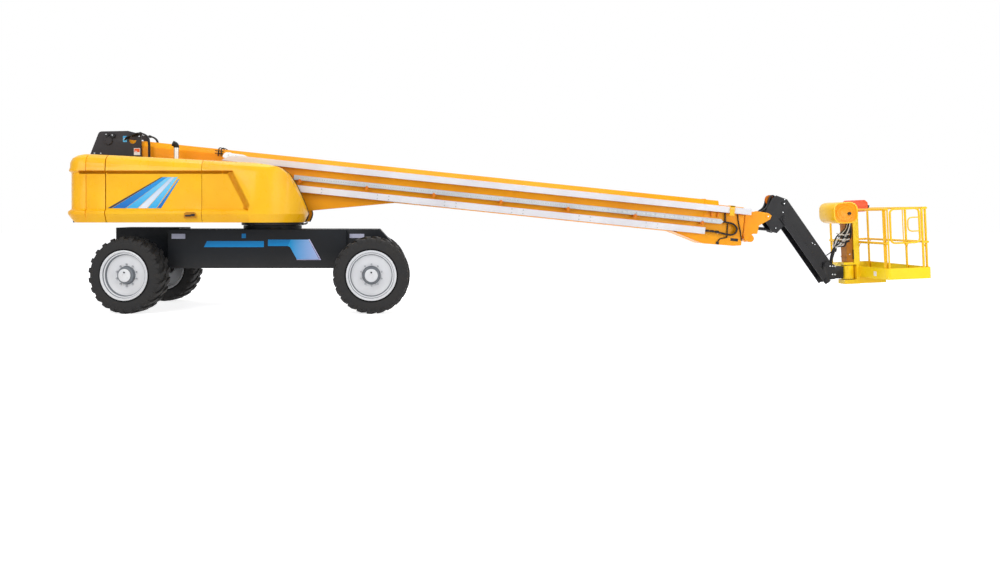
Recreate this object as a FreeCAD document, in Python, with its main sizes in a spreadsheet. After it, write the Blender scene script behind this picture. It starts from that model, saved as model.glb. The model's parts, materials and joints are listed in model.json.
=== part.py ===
"""Telescopic boom lift on four wheels, stowed for parking.

Frame: millimetres, +X from the counterweight to the platform, +Y to the left, +Z up.
The origin is on the floor, under the middle of the machine's overall length and width.
Driving sizes sit in the spreadsheet "Sizes"; every sub-part reads them from there.
"""
import FreeCAD, Part
import math
import os
import re

import Sketcher

os.makedirs("parts", exist_ok=True)
doc = FreeCAD.newDocument("BoomLift")
Vector = FreeCAD.Vector
Rotation = FreeCAD.Rotation
Placement = FreeCAD.Placement

# ---------------------------------------------------------------- driving sizes
SIZES = [
    # running gear
    ("wheelbase", 3600), ("rear_axle_x", -5576), ("track_width", 2050),
    ("tyre_diameter", 1155), ("tyre_width", 445), ("rim_diameter", 710), ("rim_lip", 19),
    ("rear_steer_rest", 8.9), ("kingpin_y", 760), ("kingpin_radius", 45), ("hub_radius", 135),
    ("disc_inset", 95), ("stud_circle", 286), ("stud_radius", 15),
    # chassis
    ("frame_top", 1253), ("frame_bottom", 645), ("frame_half", 520), ("end_half", 420),
    ("frame_rear_x", -6003), ("frame_front_x", -1664), ("wide_rear_x", -5164),
    ("wide_front_x", -2380), ("nose_slant", 188), ("nose_drop", 205),
    ("deck_rise", 25), ("deck_front_x", -5010),
    ("axle_half_x", 130), ("axle_bottom", 500), ("axle_half_y", 560), ("yoke_arm", 40),
    # slewing ring and turntable
    ("slew_x", -3590), ("slew_radius", 500), ("ring_gap", 6), ("deck_z", 1364), ("deck_plate", 26),
    ("turntable_rear_x", -6450), ("turntable_front_x", -3120), ("turntable_half", 1085),
    ("tower_gap_half", 215), ("tower_plate", 30),
    # hoods
    ("tail_x", -6530), ("hood_half", 1235), ("well_half", 400), ("nose_x", -2975),
    ("tail_radius", 190), ("nose_radius", 745), ("hood_top_rear", 2394), ("hood_top_slope", 0.0513),
    ("band_low_z", 1490), ("panel_low_z", 1565), ("panel_high_z", 2105), ("band_high_z", 2190),
    ("panel_recess", 45), ("hood_wall", 45), ("door_rear_x", -5930), ("door_front_x", -4494),
    ("door_hinge_y", 620), ("door_gap", 7),
    # boom, in its own frame: u along it from the pivot, v square to it
    ("boom_pivot_x", -6175), ("boom_pivot_z", 2660), ("boom_droop", 5.92),
    ("boom_top", 55), ("boom_bottom", -511), ("boom_half", 200), ("boom_wall", 12),
    ("boom_length", 9790), ("boom_tail", 100), ("mid_reach", 430),
    ("mid_rear", 650), ("fly_rear", 1050), ("fly_reach", 480),
    ("chamfer_y", 70), ("chamfer_v", 85), ("mid_top", -8), ("mid_bottom", -455),
    ("fly_top", -62), ("fly_bottom", -405), ("section_step", 30),
    ("rail_depth", 100), ("top_rail_v", -29), ("top_rail_high", 98), ("top_rail_start", 1830),
    ("top_rail_reach", 480), ("chain_v", -239), ("chain_high", 76), ("chain_reach", 60),
    ("low_rail_v", -395), ("low_rail_high", 105), ("low_rail_short", 219), ("rail_start", 3000),
    # knuckle, jib and platform support
    ("level_pin_reach", 810), ("level_pin_v", -113), ("jib_pin_forward", 279.2), ("jib_pin_rise", 206.7),
    ("jib_length", 1186), ("jib_droop", 55.2), ("link_drop", 256), ("jib_depth", 180),
    ("jib_half", 80), ("plate_in", 86), ("plate_out", 104), ("bar_in", 110), ("bar_out", 124),
    ("link_depth", 100), ("jib_pin_radius", 22),
    ("rotator_reach", 1064), ("support_low_drop", 1241), ("support_high_drop", 961),
    # platform
    ("platform_tilt", 2.5), ("platform_gap", 147), ("platform_width", 680),
    ("platform_half", 925), ("floor_drop", 1196), ("toe_height", 172), ("toe_plate", 4),
    ("rail_top_height", 1090), ("rail_mid_height", 553), ("rail_radius", 19), ("post_radius", 17),
    ("corner_radius", 60),
]
sheet = doc.addObject("Spreadsheet::Sheet", "Sizes")
for row, (alias, number) in enumerate(SIZES, start=1):
    sheet.set("A%d" % row, alias)
    sheet.set("B%d" % row, str(number))
    sheet.setAlias("B%d" % row, alias)
doc.recompute()
ALIASES = {alias for alias, number in SIZES}


# places that follow from the sizes: what stands on the boom's end moves with it
DERIVED = {
    "mid_front": "boom_length + mid_reach",
    "fly_front": "boom_length + fly_reach",
    "top_rail_end": "boom_length + top_rail_reach",
    "chain_end": "boom_length + chain_reach",
    "low_rail_end": "boom_length - low_rail_short",
    "level_pin_u": "boom_length + level_pin_reach",
    "level_pin_x": "boom_pivot_x + level_pin_u * cos(boom_droop) + level_pin_v * sin(boom_droop)",
    "level_pin_z": "boom_pivot_z - level_pin_u * sin(boom_droop) + level_pin_v * cos(boom_droop)",
    "jib_pin_x": "level_pin_x + jib_pin_forward",
    "jib_pin_z": "level_pin_z + jib_pin_rise",
    "rotator_x": "jib_pin_x + rotator_reach",
    "support_low_z": "jib_pin_z - support_low_drop",
    "support_high_z": "jib_pin_z - support_high_drop",
    "platform_rear_x": "rotator_x + platform_gap",
    "floor_z": "jib_pin_z - floor_drop",
    "rail_top_z": "floor_z + rail_top_height",
    "rail_mid_z": "floor_z + rail_mid_height",
}


def written_out(expression):
    """An expression with every derived place replaced by the sizes it follows from."""
    return re.sub(r"[a-z]\w*", lambda word: "(%s)" % written_out(DERIVED[word.group()])
                  if word.group() in DERIVED else word.group(), str(expression))


def size(expression):
    """Number that an expression on the sheet's names gives."""
    return float(sheet.evalExpression(written_out(expression)))


def bound(expression):
    """The same expression as another object of the document has to write it."""
    return re.sub(r"[a-z]\w*", lambda word: ("Sizes." if word.group() in ALIASES else "") + word.group(),
                  written_out(expression))


# ---------------------------------------------------------------- ways of making a piece
def origin_plane(body, role):
    """One of a body's own origin planes."""
    return [feature for feature in body.Origin.OriginFeatures if feature.Role == role][0]


def polygon_sketch(body, name, role, outlines, offset="0"):
    """Sketch of closed outlines whose corners are tied to the sheet."""
    sketch = body.newObject("Sketcher::SketchObject", name)
    sketch.AttachmentSupport = (origin_plane(body, role), "")
    sketch.MapMode = "FlatFace"
    sketch.setExpression("AttachmentOffset.Base.z", bound(offset))
    for outline in outlines:
        corners = [Vector(size(across), size(up), 0) for across, up in outline]
        first = sketch.GeometryCount
        count = len(corners)
        for index in range(count):
            sketch.addGeometry(Part.LineSegment(corners[index], corners[(index + 1) % count]))
        for index in range(count):
            follower = first + (index + 1) % count
            sketch.addConstraint(Sketcher.Constraint("Coincident", first + index, 2, follower, 1))
        for index, (across, up) in enumerate(outline):
            for kind, text, value in (("DistanceX", across, corners[index].x),
                                      ("DistanceY", up, corners[index].y)):
                number = sketch.addConstraint(Sketcher.Constraint(kind, -1, 1, first + index, 1, value))
                sketch.setExpression("Constraints[%d]" % number, bound(text))
    return sketch


def extruded(name, role, outlines, low, high):
    """Body padded from low to high along the normal of the plane it is drawn on."""
    body = doc.addObject("PartDesign::Body", name)
    start = "-(%s)" % high if role == "XZ_Plane" else low
    sketch = polygon_sketch(body, name + "_sketch", role, outlines, start)
    pad = body.newObject("PartDesign::Pad", name + "_pad")
    pad.Profile = sketch
    pad.setExpression("Length", bound("(%s) - (%s)" % (high, low)))
    sketch.Visibility = False
    return body


def box(name, low, high):
    """Box between two corners given as expressions."""
    piece = doc.addObject("Part::Box", name)
    for side, start, end in zip(("Length", "Width", "Height"), low, high):
        piece.setExpression(side, bound("(%s) - (%s)" % (end, start)))
    for axis, start in zip("xyz", low):
        piece.setExpression("Placement.Base." + axis, bound(start))
    return piece


AXIS_TURN = {"X": Rotation(Vector(0, 1, 0), 90), "Y": Rotation(Vector(1, 0, 0), -90), "Z": Rotation()}


def rod(name, axis, start, radius, length):
    """Cylinder from a start point along +X, +Y or +Z."""
    piece = doc.addObject("Part::Cylinder", name)
    piece.setExpression("Radius", bound(radius))
    piece.setExpression("Height", bound(length))
    piece.Placement = Placement(Vector(), AXIS_TURN[axis])
    for letter, value in zip("xyz", start):
        piece.setExpression("Placement.Base." + letter, bound(value))
    return piece


def fused(name, pieces):
    piece = doc.addObject("Part::MultiFuse", name)
    piece.Shapes = pieces
    return piece


def carved(name, base, tools):
    piece = doc.addObject("Part::Cut", name)
    piece.Base = base
    piece.Tool = tools[0] if len(tools) == 1 else fused(name + "_tools", tools)
    return piece


def shaped(name, shape):
    """Piece whose outline only Part's own functions can draw."""
    piece = doc.addObject("Part::Feature", name)
    piece.Shape = shape
    return piece


def faceted_ring(outline, sides, phase=0.0):
    """Solid of a closed (radius, y) outline carried round the Y axis in equal flat steps."""
    steps = [math.tau * (index + phase) / sides for index in range(sides)]
    rounds = [[Vector(radius * math.cos(angle), y, radius * math.sin(angle)) for angle in steps]
              for radius, y in outline]
    faces = []
    for place in range(len(outline)):
        near = rounds[place - 1]
        far = rounds[place]
        for index in range(sides):
            after = (index + 1) % sides
            corners = [near[index], near[after], far[after], far[index], near[index]]
            faces.append(Part.Face(Part.makePolygon(corners)))
    solid = Part.Solid(Part.Shell(faces))
    if solid.Volume < 0:
        solid.reverse()
    return solid


def prism(name, axis, start, radius, length, sides):
    """Many-sided drum from a start point along +X, +Y or +Z."""
    piece = doc.addObject("Part::Prism", name)
    piece.Polygon = sides
    piece.setExpression("Circumradius", bound(radius))
    piece.setExpression("Height", bound(length))
    piece.Placement = Placement(Vector(), AXIS_TURN[axis])
    for letter, value in zip("xyz", start):
        piece.setExpression("Placement.Base." + letter, bound(value))
    return piece


def plate(corners, low, high, axis="Y"):
    """Flat plate: a closed outline in XZ (or YZ, XY) given in numbers, from low to high along axis."""
    place = {"Y": lambda a, b: Vector(a, low, b), "X": lambda a, b: Vector(low, a, b),
             "Z": lambda a, b: Vector(a, b, low)}[axis]
    direction = {"Y": Vector(0, high - low, 0), "X": Vector(high - low, 0, 0), "Z": Vector(0, 0, high - low)}
    outline = Part.makePolygon([place(a, b) for a, b in list(corners) + [corners[0]]])
    return Part.Face(outline).extrude(direction[axis])


def tube_along(points, radius, bend=0.0, sides=8):
    """Faceted tube along straight runs; each corner is cut once across its bend."""
    line = [points[0]]
    for before, here, after in zip(points, points[1:], points[2:]):
        if bend:
            line.append(here + (before - here).normalize() * bend * 0.6)
            line.append(here + (after - here).normalize() * bend * 0.6)
        else:
            line.append(here)
    line.append(points[-1])
    along = (line[1] - line[0]).normalize()
    flank = along.cross(Vector(0, 0, 1))
    if flank.Length < 0.1:
        flank = along.cross(Vector(0, 1, 0))
    flank.normalize()
    upward = flank.cross(along)
    corners = []
    for index in range(sides + 1):
        angle = math.tau * (index + 0.5) / sides
        corners.append(line[0] + flank * radius * math.cos(angle) + upward * radius * math.sin(angle))
    return Part.Wire(Part.makePolygon(line)).makePipeShell([Part.makePolygon(corners)], True, False, 1)


FINISHED = {}


def finish(node, piece, frame=None):
    """Name a sub-part after its node and seat it in its frame."""
    piece.Label = node
    if frame is not None:
        piece.Placement = frame
    FINISHED[node] = piece
    return piece


# ---------------------------------------------------------------- frames of the inclined parts
boom_frame = Placement(Vector(size("boom_pivot_x"), 0, size("boom_pivot_z")),
                       Rotation(Vector(0, 1, 0), size("boom_droop")))
jib_frame = Placement(Vector(size("jib_pin_x"), 0, size("jib_pin_z")),
                      Rotation(Vector(0, 1, 0), size("jib_droop")))
link_frame = Placement(Vector(size("jib_pin_x"), 0, size("jib_pin_z - link_drop")),
                       Rotation(Vector(0, 1, 0), size("jib_droop")))
jib_end = jib_frame.multVec(Vector(size("jib_length"), 0, 0))
level_pin = boom_frame.multVec(Vector(size("level_pin_u"), 0, size("level_pin_v")))
tilt = Rotation(Vector(0, 1, 0), -size("platform_tilt"))
platform_frame = Placement(jib_end - tilt.multVec(jib_end), tilt)


# ---------------------------------------------------------------- running gear
def wheel_frame(front, side):
    """Wheel's own frame: origin at the kingpin's foot line, turned as it is steered."""
    across = "rear_axle_x + wheelbase" if front else "rear_axle_x"
    angle = 0.0 if front else -size("rear_steer_rest")
    return Placement(Vector(size(across), side * size("kingpin_y"), size("tyre_diameter / 2")),
                     Rotation(Vector(0, 0, 1), angle + (0 if side > 0 else 180)))


def make_chassis():
    """Welded box frame: a narrow beam through both axles, wider between the wheels."""
    side = [("frame_rear_x", "frame_bottom"), ("frame_front_x", "frame_bottom"),
            ("frame_front_x", "frame_top - nose_drop"), ("frame_front_x - nose_slant", "frame_top"),
            ("frame_rear_x", "frame_top")]
    beam = extruded("beam", "XZ_Plane", [side], "-end_half", "end_half")
    middle = box("middle", ("wide_rear_x", "-frame_half", "frame_bottom"),
                 ("wide_front_x", "frame_half", "frame_top"))
    deck = box("rear_deck", ("frame_rear_x", "-end_half", "frame_top"),
               ("deck_front_x", "end_half", "frame_top + deck_rise"))
    lower_ring = prism("lower_ring", "Z", ("slew_x", "0", "frame_top"), "slew_radius - 30",
                       "(deck_z - frame_top) / 2", 32)
    finish("chassis", fused("chassis_frame", [beam, middle, deck, lower_ring]))


def make_axle(node, across):
    """Axle beam under the frame, with a forked yoke for the kingpin at each end."""
    hub = "tyre_diameter / 2"
    reach = "hub_radius + 6"
    beam = box(node + "_beam", ("%s - axle_half_x" % across, "-axle_half_y", "axle_bottom"),
               ("%s + axle_half_x" % across, "axle_half_y", "frame_bottom"))
    pieces = [beam]
    for side in (-1, 1):
        inner = "axle_half_y - 30"
        outer = "kingpin_y + kingpin_radius + 30"
        low_y = "-(%s)" % outer if side < 0 else inner
        high_y = "-(%s)" % inner if side < 0 else outer
        for sign in (-1, 1):
            near = "%s + %d * (%s)" % (hub, sign, reach)
            far = "%s + %d * (%s + yoke_arm)" % (hub, sign, reach)
            low_z = far if sign < 0 else near
            high_z = near if sign < 0 else far
            pieces.append(box("%s_arm_%d_%d" % (node, side + 1, sign + 1),
                              ("%s - 90" % across, low_y, low_z), ("%s + 90" % across, high_y, high_z)))
        web_low = "-(axle_half_y)" if side < 0 else inner
        web_high = "-(%s)" % inner if side < 0 else "axle_half_y"
        pieces.append(box("%s_web_%d" % (node, side + 1),
                          ("%s - 90" % across, web_low, "%s - (%s) - yoke_arm" % (hub, reach)),
                          ("%s + 90" % across, web_high, "%s + (%s) + yoke_arm" % (hub, reach))))
    finish(node, fused(node + "_axle", pieces))


def make_wheel(tag, front, side):
    """Steered hub, rim and solid-filled tyre; their frame has +Y pointing out of the machine."""
    frame = wheel_frame(front, side)
    middle = "track_width / 2 - kingpin_y"
    # hub carrier on its kingpin
    pin = prism("pin_" + tag, "Z", ("0", "0", "-(hub_radius)"), "kingpin_radius", "2 * hub_radius", 16)
    drum = prism("drum_" + tag, "Y", ("0", "-(kingpin_radius) - 15", "0"), "hub_radius - 25",
                 "%s + tyre_width / 2 - disc_inset + kingpin_radius - 10" % middle, 18)
    finish("knuckle_" + tag, fused("carrier_" + tag, [pin, drum]), frame)
    out_y = size("%s + tyre_width / 2" % middle)
    in_y = size("%s - tyre_width / 2" % middle)
    bead = size("rim_diameter / 2")
    lip = size("rim_diameter / 2 + rim_lip")
    face = out_y - size("disc_inset")
    hub = size("hub_radius")
    # rim: flanges, well and dished disc with its hub boss
    rim = [(30, face + 66), (hub - 25, face + 66), (hub - 5, face), (bead - 65, face + 12),
           (bead - 45, face + 54), (bead - 20, face + 60), (bead - 8, out_y - 6), (lip, out_y - 4),
           (lip, out_y - 16), (bead - 12, out_y - 30), (bead - 12, in_y + 30), (lip, in_y + 16),
           (lip, in_y + 4), (bead - 30, in_y + 20), (bead - 30, face - 10), (30, face - 12)]
    sides = 22
    finish("rim_" + tag, shaped("rim_ring_" + tag, faceted_ring(rim, sides)), frame)
    # tyre: plain walls and tread
    crown = size("tyre_diameter / 2")
    tyre = [(bead - 11, out_y - 32), (lip + 1, out_y - 16), (lip + 5, out_y - 12), (lip + 80, out_y),
            (crown - 40, out_y - 10), (crown, out_y - 45), (crown, in_y + 45), (crown - 40, in_y + 10),
            (lip + 80, in_y), (lip + 5, in_y + 12), (lip + 1, in_y + 16), (bead - 11, in_y + 32)]
    finish("tyre_" + tag, shaped("tyre_ring_" + tag, faceted_ring(tyre, sides)), frame)


# ---------------------------------------------------------------- turntable
def make_turntable():
    """Slewing deck with the two tower plates that carry the boom's pivot."""
    ring = prism("upper_ring", "Z", ("slew_x", "0", "(frame_top + deck_z) / 2 + ring_gap"), "slew_radius",
                 "(deck_z - frame_top) / 2 - ring_gap", 32)
    deck = box("deck_plate_box", ("turntable_rear_x", "-turntable_half", "deck_z"),
               ("turntable_front_x - 500", "turntable_half", "deck_z + deck_plate"))
    tongue = box("deck_tongue", ("turntable_front_x - 510", "-well_half", "deck_z"),
                 ("turntable_front_x", "well_half", "deck_z + deck_plate"))
    base = "deck_z + deck_plate"
    reach = "boom_pivot_x %+d"
    outline = [("turntable_rear_x", base), (reach % 1175, base), (reach % 575, "2300"), (reach % 523, "2430"),
               (reach % 523, "2751"), (reach % 447, "2781"), (reach % 311, "2816"), (reach % -115, "2808"),
               (reach % -143, "2798"), (reach % -161, "2776"), (reach % -289, "2448"), ("turntable_rear_x", "2110")]
    towers = []
    for name, low, high in (("tower_right", "-tower_gap_half - tower_plate", "-tower_gap_half"),
                            ("tower_left", "tower_gap_half", "tower_gap_half + tower_plate")):
        plate_body = extruded(name, "XZ_Plane", [outline], low, high)
        hole = prism(name + "_hole", "Y", (reach % 385, low, "2669"), "58", "tower_plate", 16)
        towers.append(carved(name + "_cut", plate_body, [hole]))
    rear_web = box("tower_web", ("turntable_rear_x", "-tower_gap_half", base),
                   ("turntable_rear_x + 30", "tower_gap_half", "2050"))
    pin = prism("boom_pin", "Y", ("boom_pivot_x", "-tower_gap_half - tower_plate - 12", "boom_pivot_z"), "40",
                "2 * (tower_gap_half + tower_plate + 12)", 16)
    lugs = []
    for name, low in (("lift_lug_right", "-85 - 25"), ("lift_lug_left", "85")):
        lug = [("-5720", base), ("-5420", base), ("-5540", "1690"), ("-5600", "1710"), ("-5660", "1690")]
        lugs.append(extruded(name, "XZ_Plane", [lug], low, "%s + 25" % low))
    lift_pin = prism("lift_pin", "Y", ("-5600", "-115", "1630"), "34", "230", 16)
    finish("turntable", fused("turntable_frame",
                              [ring, deck, tongue] + towers + [rear_web, pin] + lugs + [lift_pin]))


def plan_wire(inset, height):
    """Right-hand hood seen from above: round tail corner, long side, round nose, flat well wall."""
    tail = size("tail_x") + inset
    side = size("hood_half") - inset
    well = size("well_half")
    nose = size("nose_x") - inset
    small = size("tail_radius") - inset / 2
    large = size("nose_radius") - inset
    corners = [(tail, well)]
    for step in range(5):
        angle = math.radians(180 - 22.5 * step)
        corners.append((tail + small + small * math.cos(angle), side - small + small * math.sin(angle)))
    for step in range(8):
        angle = math.radians(90 - 90 / 7 * step)
        corners.append((nose - large + large * math.cos(angle), side - large + large * math.sin(angle)))
    corners.append((nose, well))
    return Part.makePolygon([Vector(x, -y, height) for x, y in corners + corners[:1]])


def hood_stack(levels):
    """Solid stacked from plan outlines, each level an (inset, height) pair."""
    slices = []
    for (low_inset, low_z), (high_inset, high_z) in zip(levels, levels[1:]):
        slices.append(Part.makeLoft([plan_wire(low_inset, low_z), plan_wire(high_inset, high_z)], True, True))
    return slices[0].multiFuse(slices[1:]).removeSplitter()


def hood_top(x, drop=0.0):
    """Height of the sloping hood top at x."""
    return size("hood_top_rear") - drop - size("hood_top_slope") * (x + 6250)


def side_profile(drop=0.0):
    """Side view of the hood: sloping top that falls away round the nose."""
    rear = size("tail_x") - 100
    front = size("nose_x") - drop
    low = size("deck_z")
    crest = [(front - 740, hood_top(front - 740, drop)), (front - 560, hood_top(front - 560, drop) - 22),
             (front - 400, 2200 - drop), (front - 300, 2120 - drop), (front - 200, 1970), (front - 110, 1785),
             (front - 40, 1620), (front, 1500), (front - 15, 1430), (front - 50, low)]
    return plate([(rear, low), (rear, hood_top(rear, drop))] + crest, -1400, 1400)


def slab(x_low, x_high, y_low, y_high, z_low=1000.0, z_high=3000.0):
    return Part.makeBox(x_high - x_low, y_high - y_low, z_high - z_low, Vector(x_low, y_low, z_low))


def mirrored(shape):
    """Left-hand copy of a right-hand shape."""
    return shape.mirror(Vector(0, 0, 0), Vector(0, 1, 0))


def shoulder(points):
    """Cutter that rounds the hood's long top edge: (inset, drop below the roof line) points."""
    half = size("hood_half")
    rear = size("tail_x") - 170
    front = size("nose_x") - 740
    roof = hood_top(rear)
    corners = [(-half - 200, roof - points[0][1])] + [(inset - half, roof - drop) for inset, drop in points]
    corners += [(points[-1][0] - half, roof + 200), (-half - 200, roof + 200)]
    outline = Part.Face(Part.makePolygon([Vector(rear, y, z) for y, z in corners + corners[:1]]))
    run = front + 400 - rear
    return outline.extrude(Vector(run, 0, -size("hood_top_slope") * run))


def hood_solid():
    """Whole right-hand hood before it is parted: recessed side panel, plain nose, rounded top edge."""
    low = size("deck_z")
    recess = size("panel_recess")
    band, panel_low = size("band_low_z"), size("panel_low_z")
    panel_high, band_high = size("panel_high_z"), size("band_high_z")
    crown = [(25, band_high), (28, band_high + 70), (60, band_high + 140), (130, band_high + 185),
             (300, band_high + 230)]
    banded = hood_stack([(80, low), (0, band), (0, band + 40), (recess, panel_low), (recess, panel_high),
                         (10, panel_high + 30)] + crown)
    plain = hood_stack([(60, low), (0, band), (5, panel_high + 30)] + crown)
    nose = size("nose_x")
    edge = [(nose - 6000, band - 500), (nose - 825, band - 500), (nose - 825, panel_low),
            (nose - 805, panel_low + 60), (nose - 1028, panel_high - 35), (nose - 1060, panel_high + 30),
            (nose - 1060, band_high + 900), (nose - 6000, band_high + 900)]
    rear_zone = plate(edge, -1500.0, 0.0)
    body = banded.common(rear_zone).fuse(plain.cut(rear_zone)).common(side_profile())
    body = body.cut(shoulder([(28, 134), (60, 64), (130, 19), (207, 0)]))
    deck = slab(size("turntable_rear_x"), size("turntable_front_x") - 500, -size("turntable_half"), 0,
                1300, low + size("deck_plate"))
    return body.cut(deck)


def make_hoods():
    """Counterweight, fixed covers and gull-wing doors, cut from one outer form and its mirror image."""
    whole = hood_solid()
    wall = size("hood_wall")
    gap = size("door_gap")
    rear = size("door_rear_x")
    front = size("door_front_x")
    hinge = size("door_hinge_y")
    recess = size("panel_recess")
    low = size("deck_z")
    cavity_end = size("nose_x") - 925
    cavity_form = hood_stack([(recess + wall, low - 64), (recess + wall, low + 1136)]).common(side_profile(wall))
    cavity_form = cavity_form.cut(shoulder([(0, 134), (recess + wall, 134), (175, 84), (250, wall)]))
    cavity_form = cavity_form.fuse(slab(rear - 100, cavity_end, -1120, -size("well_half"), low - 164, low + 36))
    inner = cavity_form.common(slab(rear + gap, cavity_end, -1240, -size("well_half") - 30, low - 164, low + 1236))
    flue_x, flue_y = size("door_front_x") - 536, -520
    flue = slab(flue_x - 52, flue_x + 52, flue_y - 52, flue_y + 52, size("panel_high_z"), low + 1236)
    shell = whole.cut(inner).cut(flue)
    doorway = slab(rear, front, -1400, -hinge)
    weight = whole.common(slab(-7000, rear - gap, -1400, 0))
    middle = slab(size("tail_x") + 30, size("turntable_rear_x") - 20, -size("well_half") - 40,
                  size("well_half") + 40, low + 40, low + 716)
    seam = rear - 295
    band = weight.common(slab(seam, seam + 12, -1400, -size("well_half") - 20, low + 56, low + 1636))
    inner_band = band.copy()
    inner_band.translate(Vector(0, 12, -8))
    weight = weight.cut(band.cut(inner_band))
    weight_both = weight.multiFuse([mirrored(weight), middle])
    finish("counterweight", shaped("counterweight_cast", weight_both))
    cover = shell.cut(slab(-7000, rear, -1400, 0)).cut(doorway)
    door = shell.common(slab(rear + gap, front - gap, -1400, -hinge - gap))
    for side, tag in ((-1, "right"), (1, "left")):
        cover_side = cover if side < 0 else mirrored(cover)
        door_side = door if side < 0 else mirrored(door)
        finish("hood_" + tag, shaped("hood_shell_" + tag, cover_side))
        finish("door_" + tag, shaped("door_shell_" + tag, door_side))


def make_engine():
    """Engine block with its upright exhaust on the right, hydraulic tank on the left."""
    floor = "deck_z + deck_plate"
    finish("engine", box("engine_block", ("door_rear_x + 130", "-1020", floor),
                         ("door_front_x - 200", "-480", "deck_z + 716")))
    finish("hydraulic_tank", box("tank_block", ("door_rear_x + 130", "520", floor),
                                 ("door_front_x - 200", "1020", "deck_z + 636")))
    foot = Vector(size("door_front_x") - 536, -520, size("deck_z") + 716)
    pipe = tube_along([foot, foot + Vector(0, 0, 475), foot + Vector(-52, -26, 515)], 42)
    finish("exhaust", shaped("exhaust_pipe", pipe))


# ---------------------------------------------------------------- boom
def section_outline(top, bottom, half, inset="0"):
    """Boom section in (y, v): flat sides, wide chamfers along the top, small ones along the bottom."""
    y = "%s - (%s)" % (half, inset)
    t = "%s - (%s)" % (top, inset)
    b = "%s + (%s)" % (bottom, inset)
    cy = "chamfer_y * 0.8"
    return [("-(%s)" % y, "%s + 40" % b), ("-(%s) + 40" % y, b), ("%s - 40" % y, b), (y, "%s + 40" % b),
            (y, "%s - chamfer_v" % t), ("%s - %s" % (y, cy), t), ("-(%s) + %s" % (y, cy), t),
            ("-(%s)" % y, "%s - chamfer_v" % t)]


def make_boom():
    """Three box sections, each drawn from the one before; all lie in the boom's frame."""
    base = extruded("base_tube", "YZ_Plane",
                    [section_outline("boom_top", "boom_bottom", "boom_half"),
                     section_outline("boom_top", "boom_bottom", "boom_half", "boom_wall")],
                    "-boom_tail", "boom_length")
    ear = prism("pivot_ear", "Y", ("0", "-170", "0"), "95", "340", 16)
    ear_plate = box("ear_plate", ("-95", "-170", "-95"), ("95", "170", "30"))
    bore = rod("pivot_bore", "Y", ("0", "-220", "0"), "40.08", "440")
    along = "boom_length %+d"
    head = [(along % -725, "boom_bottom + 41"), (along % -200, "-652"), (along % 288, "-640"),
            (along % 410, "-620"), (along % 410, "-140"), (along % -90, "-140")]
    cheeks = [extruded("cheek_right", "XZ_Plane", [head], "-boom_half - 14", "-boom_half"),
              extruded("cheek_left", "XZ_Plane", [head], "boom_half", "boom_half + 14")]
    under = [(along % -690, "boom_bottom + 1"), (along % -200, "-652"), (along % 288, "-640"),
             (along % 288, "-620"), (along % -190, "-630"), (along % -490, "boom_bottom + 1")]
    sole = extruded("head_sole", "XZ_Plane", [under], "-boom_half", "boom_half")
    collar = extruded("collar", "YZ_Plane", [section_outline("boom_top + 9", "boom_bottom - 9", "boom_half + 9"),
                                             section_outline("boom_top", "boom_bottom", "boom_half")],
                      along % -230, along % -205)
    rib = [("3150", "boom_bottom + 1"), ("4640", "boom_bottom + 1"), ("3200", "-795"), ("2700", "-795"),
           ("2500", "boom_bottom + 1")]
    ribs = [extruded("lift_rib_right", "XZ_Plane", [rib], "-165", "-140"),
            extruded("lift_rib_left", "XZ_Plane", [rib], "140", "165")]
    standoffs = []
    for index, place in enumerate(("3400", "5200", "7000", along % -990)):
        for level in ("chain_v - chain_high / 2", "low_rail_v - low_rail_high / 2"):
            standoffs.append(box("standoff_%d_%s" % (index, level[:3]),
                                 (place, "-boom_half - 14", "%s - 25" % level),
                                 ("%s + 60" % place, "-boom_half + 2", "%s + 25" % level)))
    tube = carved("base_bored", fused("base_fused", [base, ear, ear_plate] + cheeks + [sole, collar] + ribs
                                      + standoffs), [bore])
    finish("boom_base", tube, boom_frame)
    mid = extruded("mid_tube", "YZ_Plane",
                   [section_outline("mid_top", "mid_bottom", "boom_half - section_step"),
                    section_outline("mid_top", "mid_bottom", "boom_half - section_step", "boom_wall")],
                   "mid_rear", "mid_front")
    finish("boom_mid", mid, boom_frame)
    fly = extruded("fly_tube", "YZ_Plane",
                   [section_outline("fly_top", "fly_bottom", "boom_half - 2 * section_step"),
                    section_outline("fly_top", "fly_bottom", "boom_half - 2 * section_step", "boom_wall")],
                   "fly_rear", "fly_front")
    shield = [(along % 450, "-110"), (along % 619, "-47"), ("level_pin_u", "-60"),
              ("level_pin_u + 60", "level_pin_v + 19"), ("level_pin_u + 40", "level_pin_v - 45"),
              (along % 686, "-273"), (along % 670, "-409"), (along % 597, "-417"), (along % 489, "-563"),
              (along % 450, "-440")]
    wings = []
    for name, low, high in (("shield_right", "-bar_out - 30", "-bar_out - 10"),
                            ("shield_left", "bar_out + 10", "bar_out + 30")):
        wing = extruded(name, "XZ_Plane", [shield], low, high)
        hole = rod(name + "_hole", "Y", ("level_pin_u", low, "level_pin_v"), "24.08", "20")
        wings.append(carved(name + "_cut", wing, [hole]))
    bridges = []
    for name, level in (("bridge_low", "-440"), ("bridge_high", "-150")):
        bridges.append(box(name, (along % 450, "-bar_out - 11", level),
                           (along % 472, "bar_out + 11", "%s + 40" % level)))
    roller = prism("head_roller", "Y", (along % 574, "-bar_out - 11", "-493"), "60", "2 * (bar_out + 11)", 16)
    foot_pin = prism("level_foot_pin", "Y", (along % -230, "-131", "-330"), "26", "262", 12)
    finish("boom_fly", fused("fly_fused", [fly] + wings + bridges + [roller, foot_pin]), boom_frame)


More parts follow.
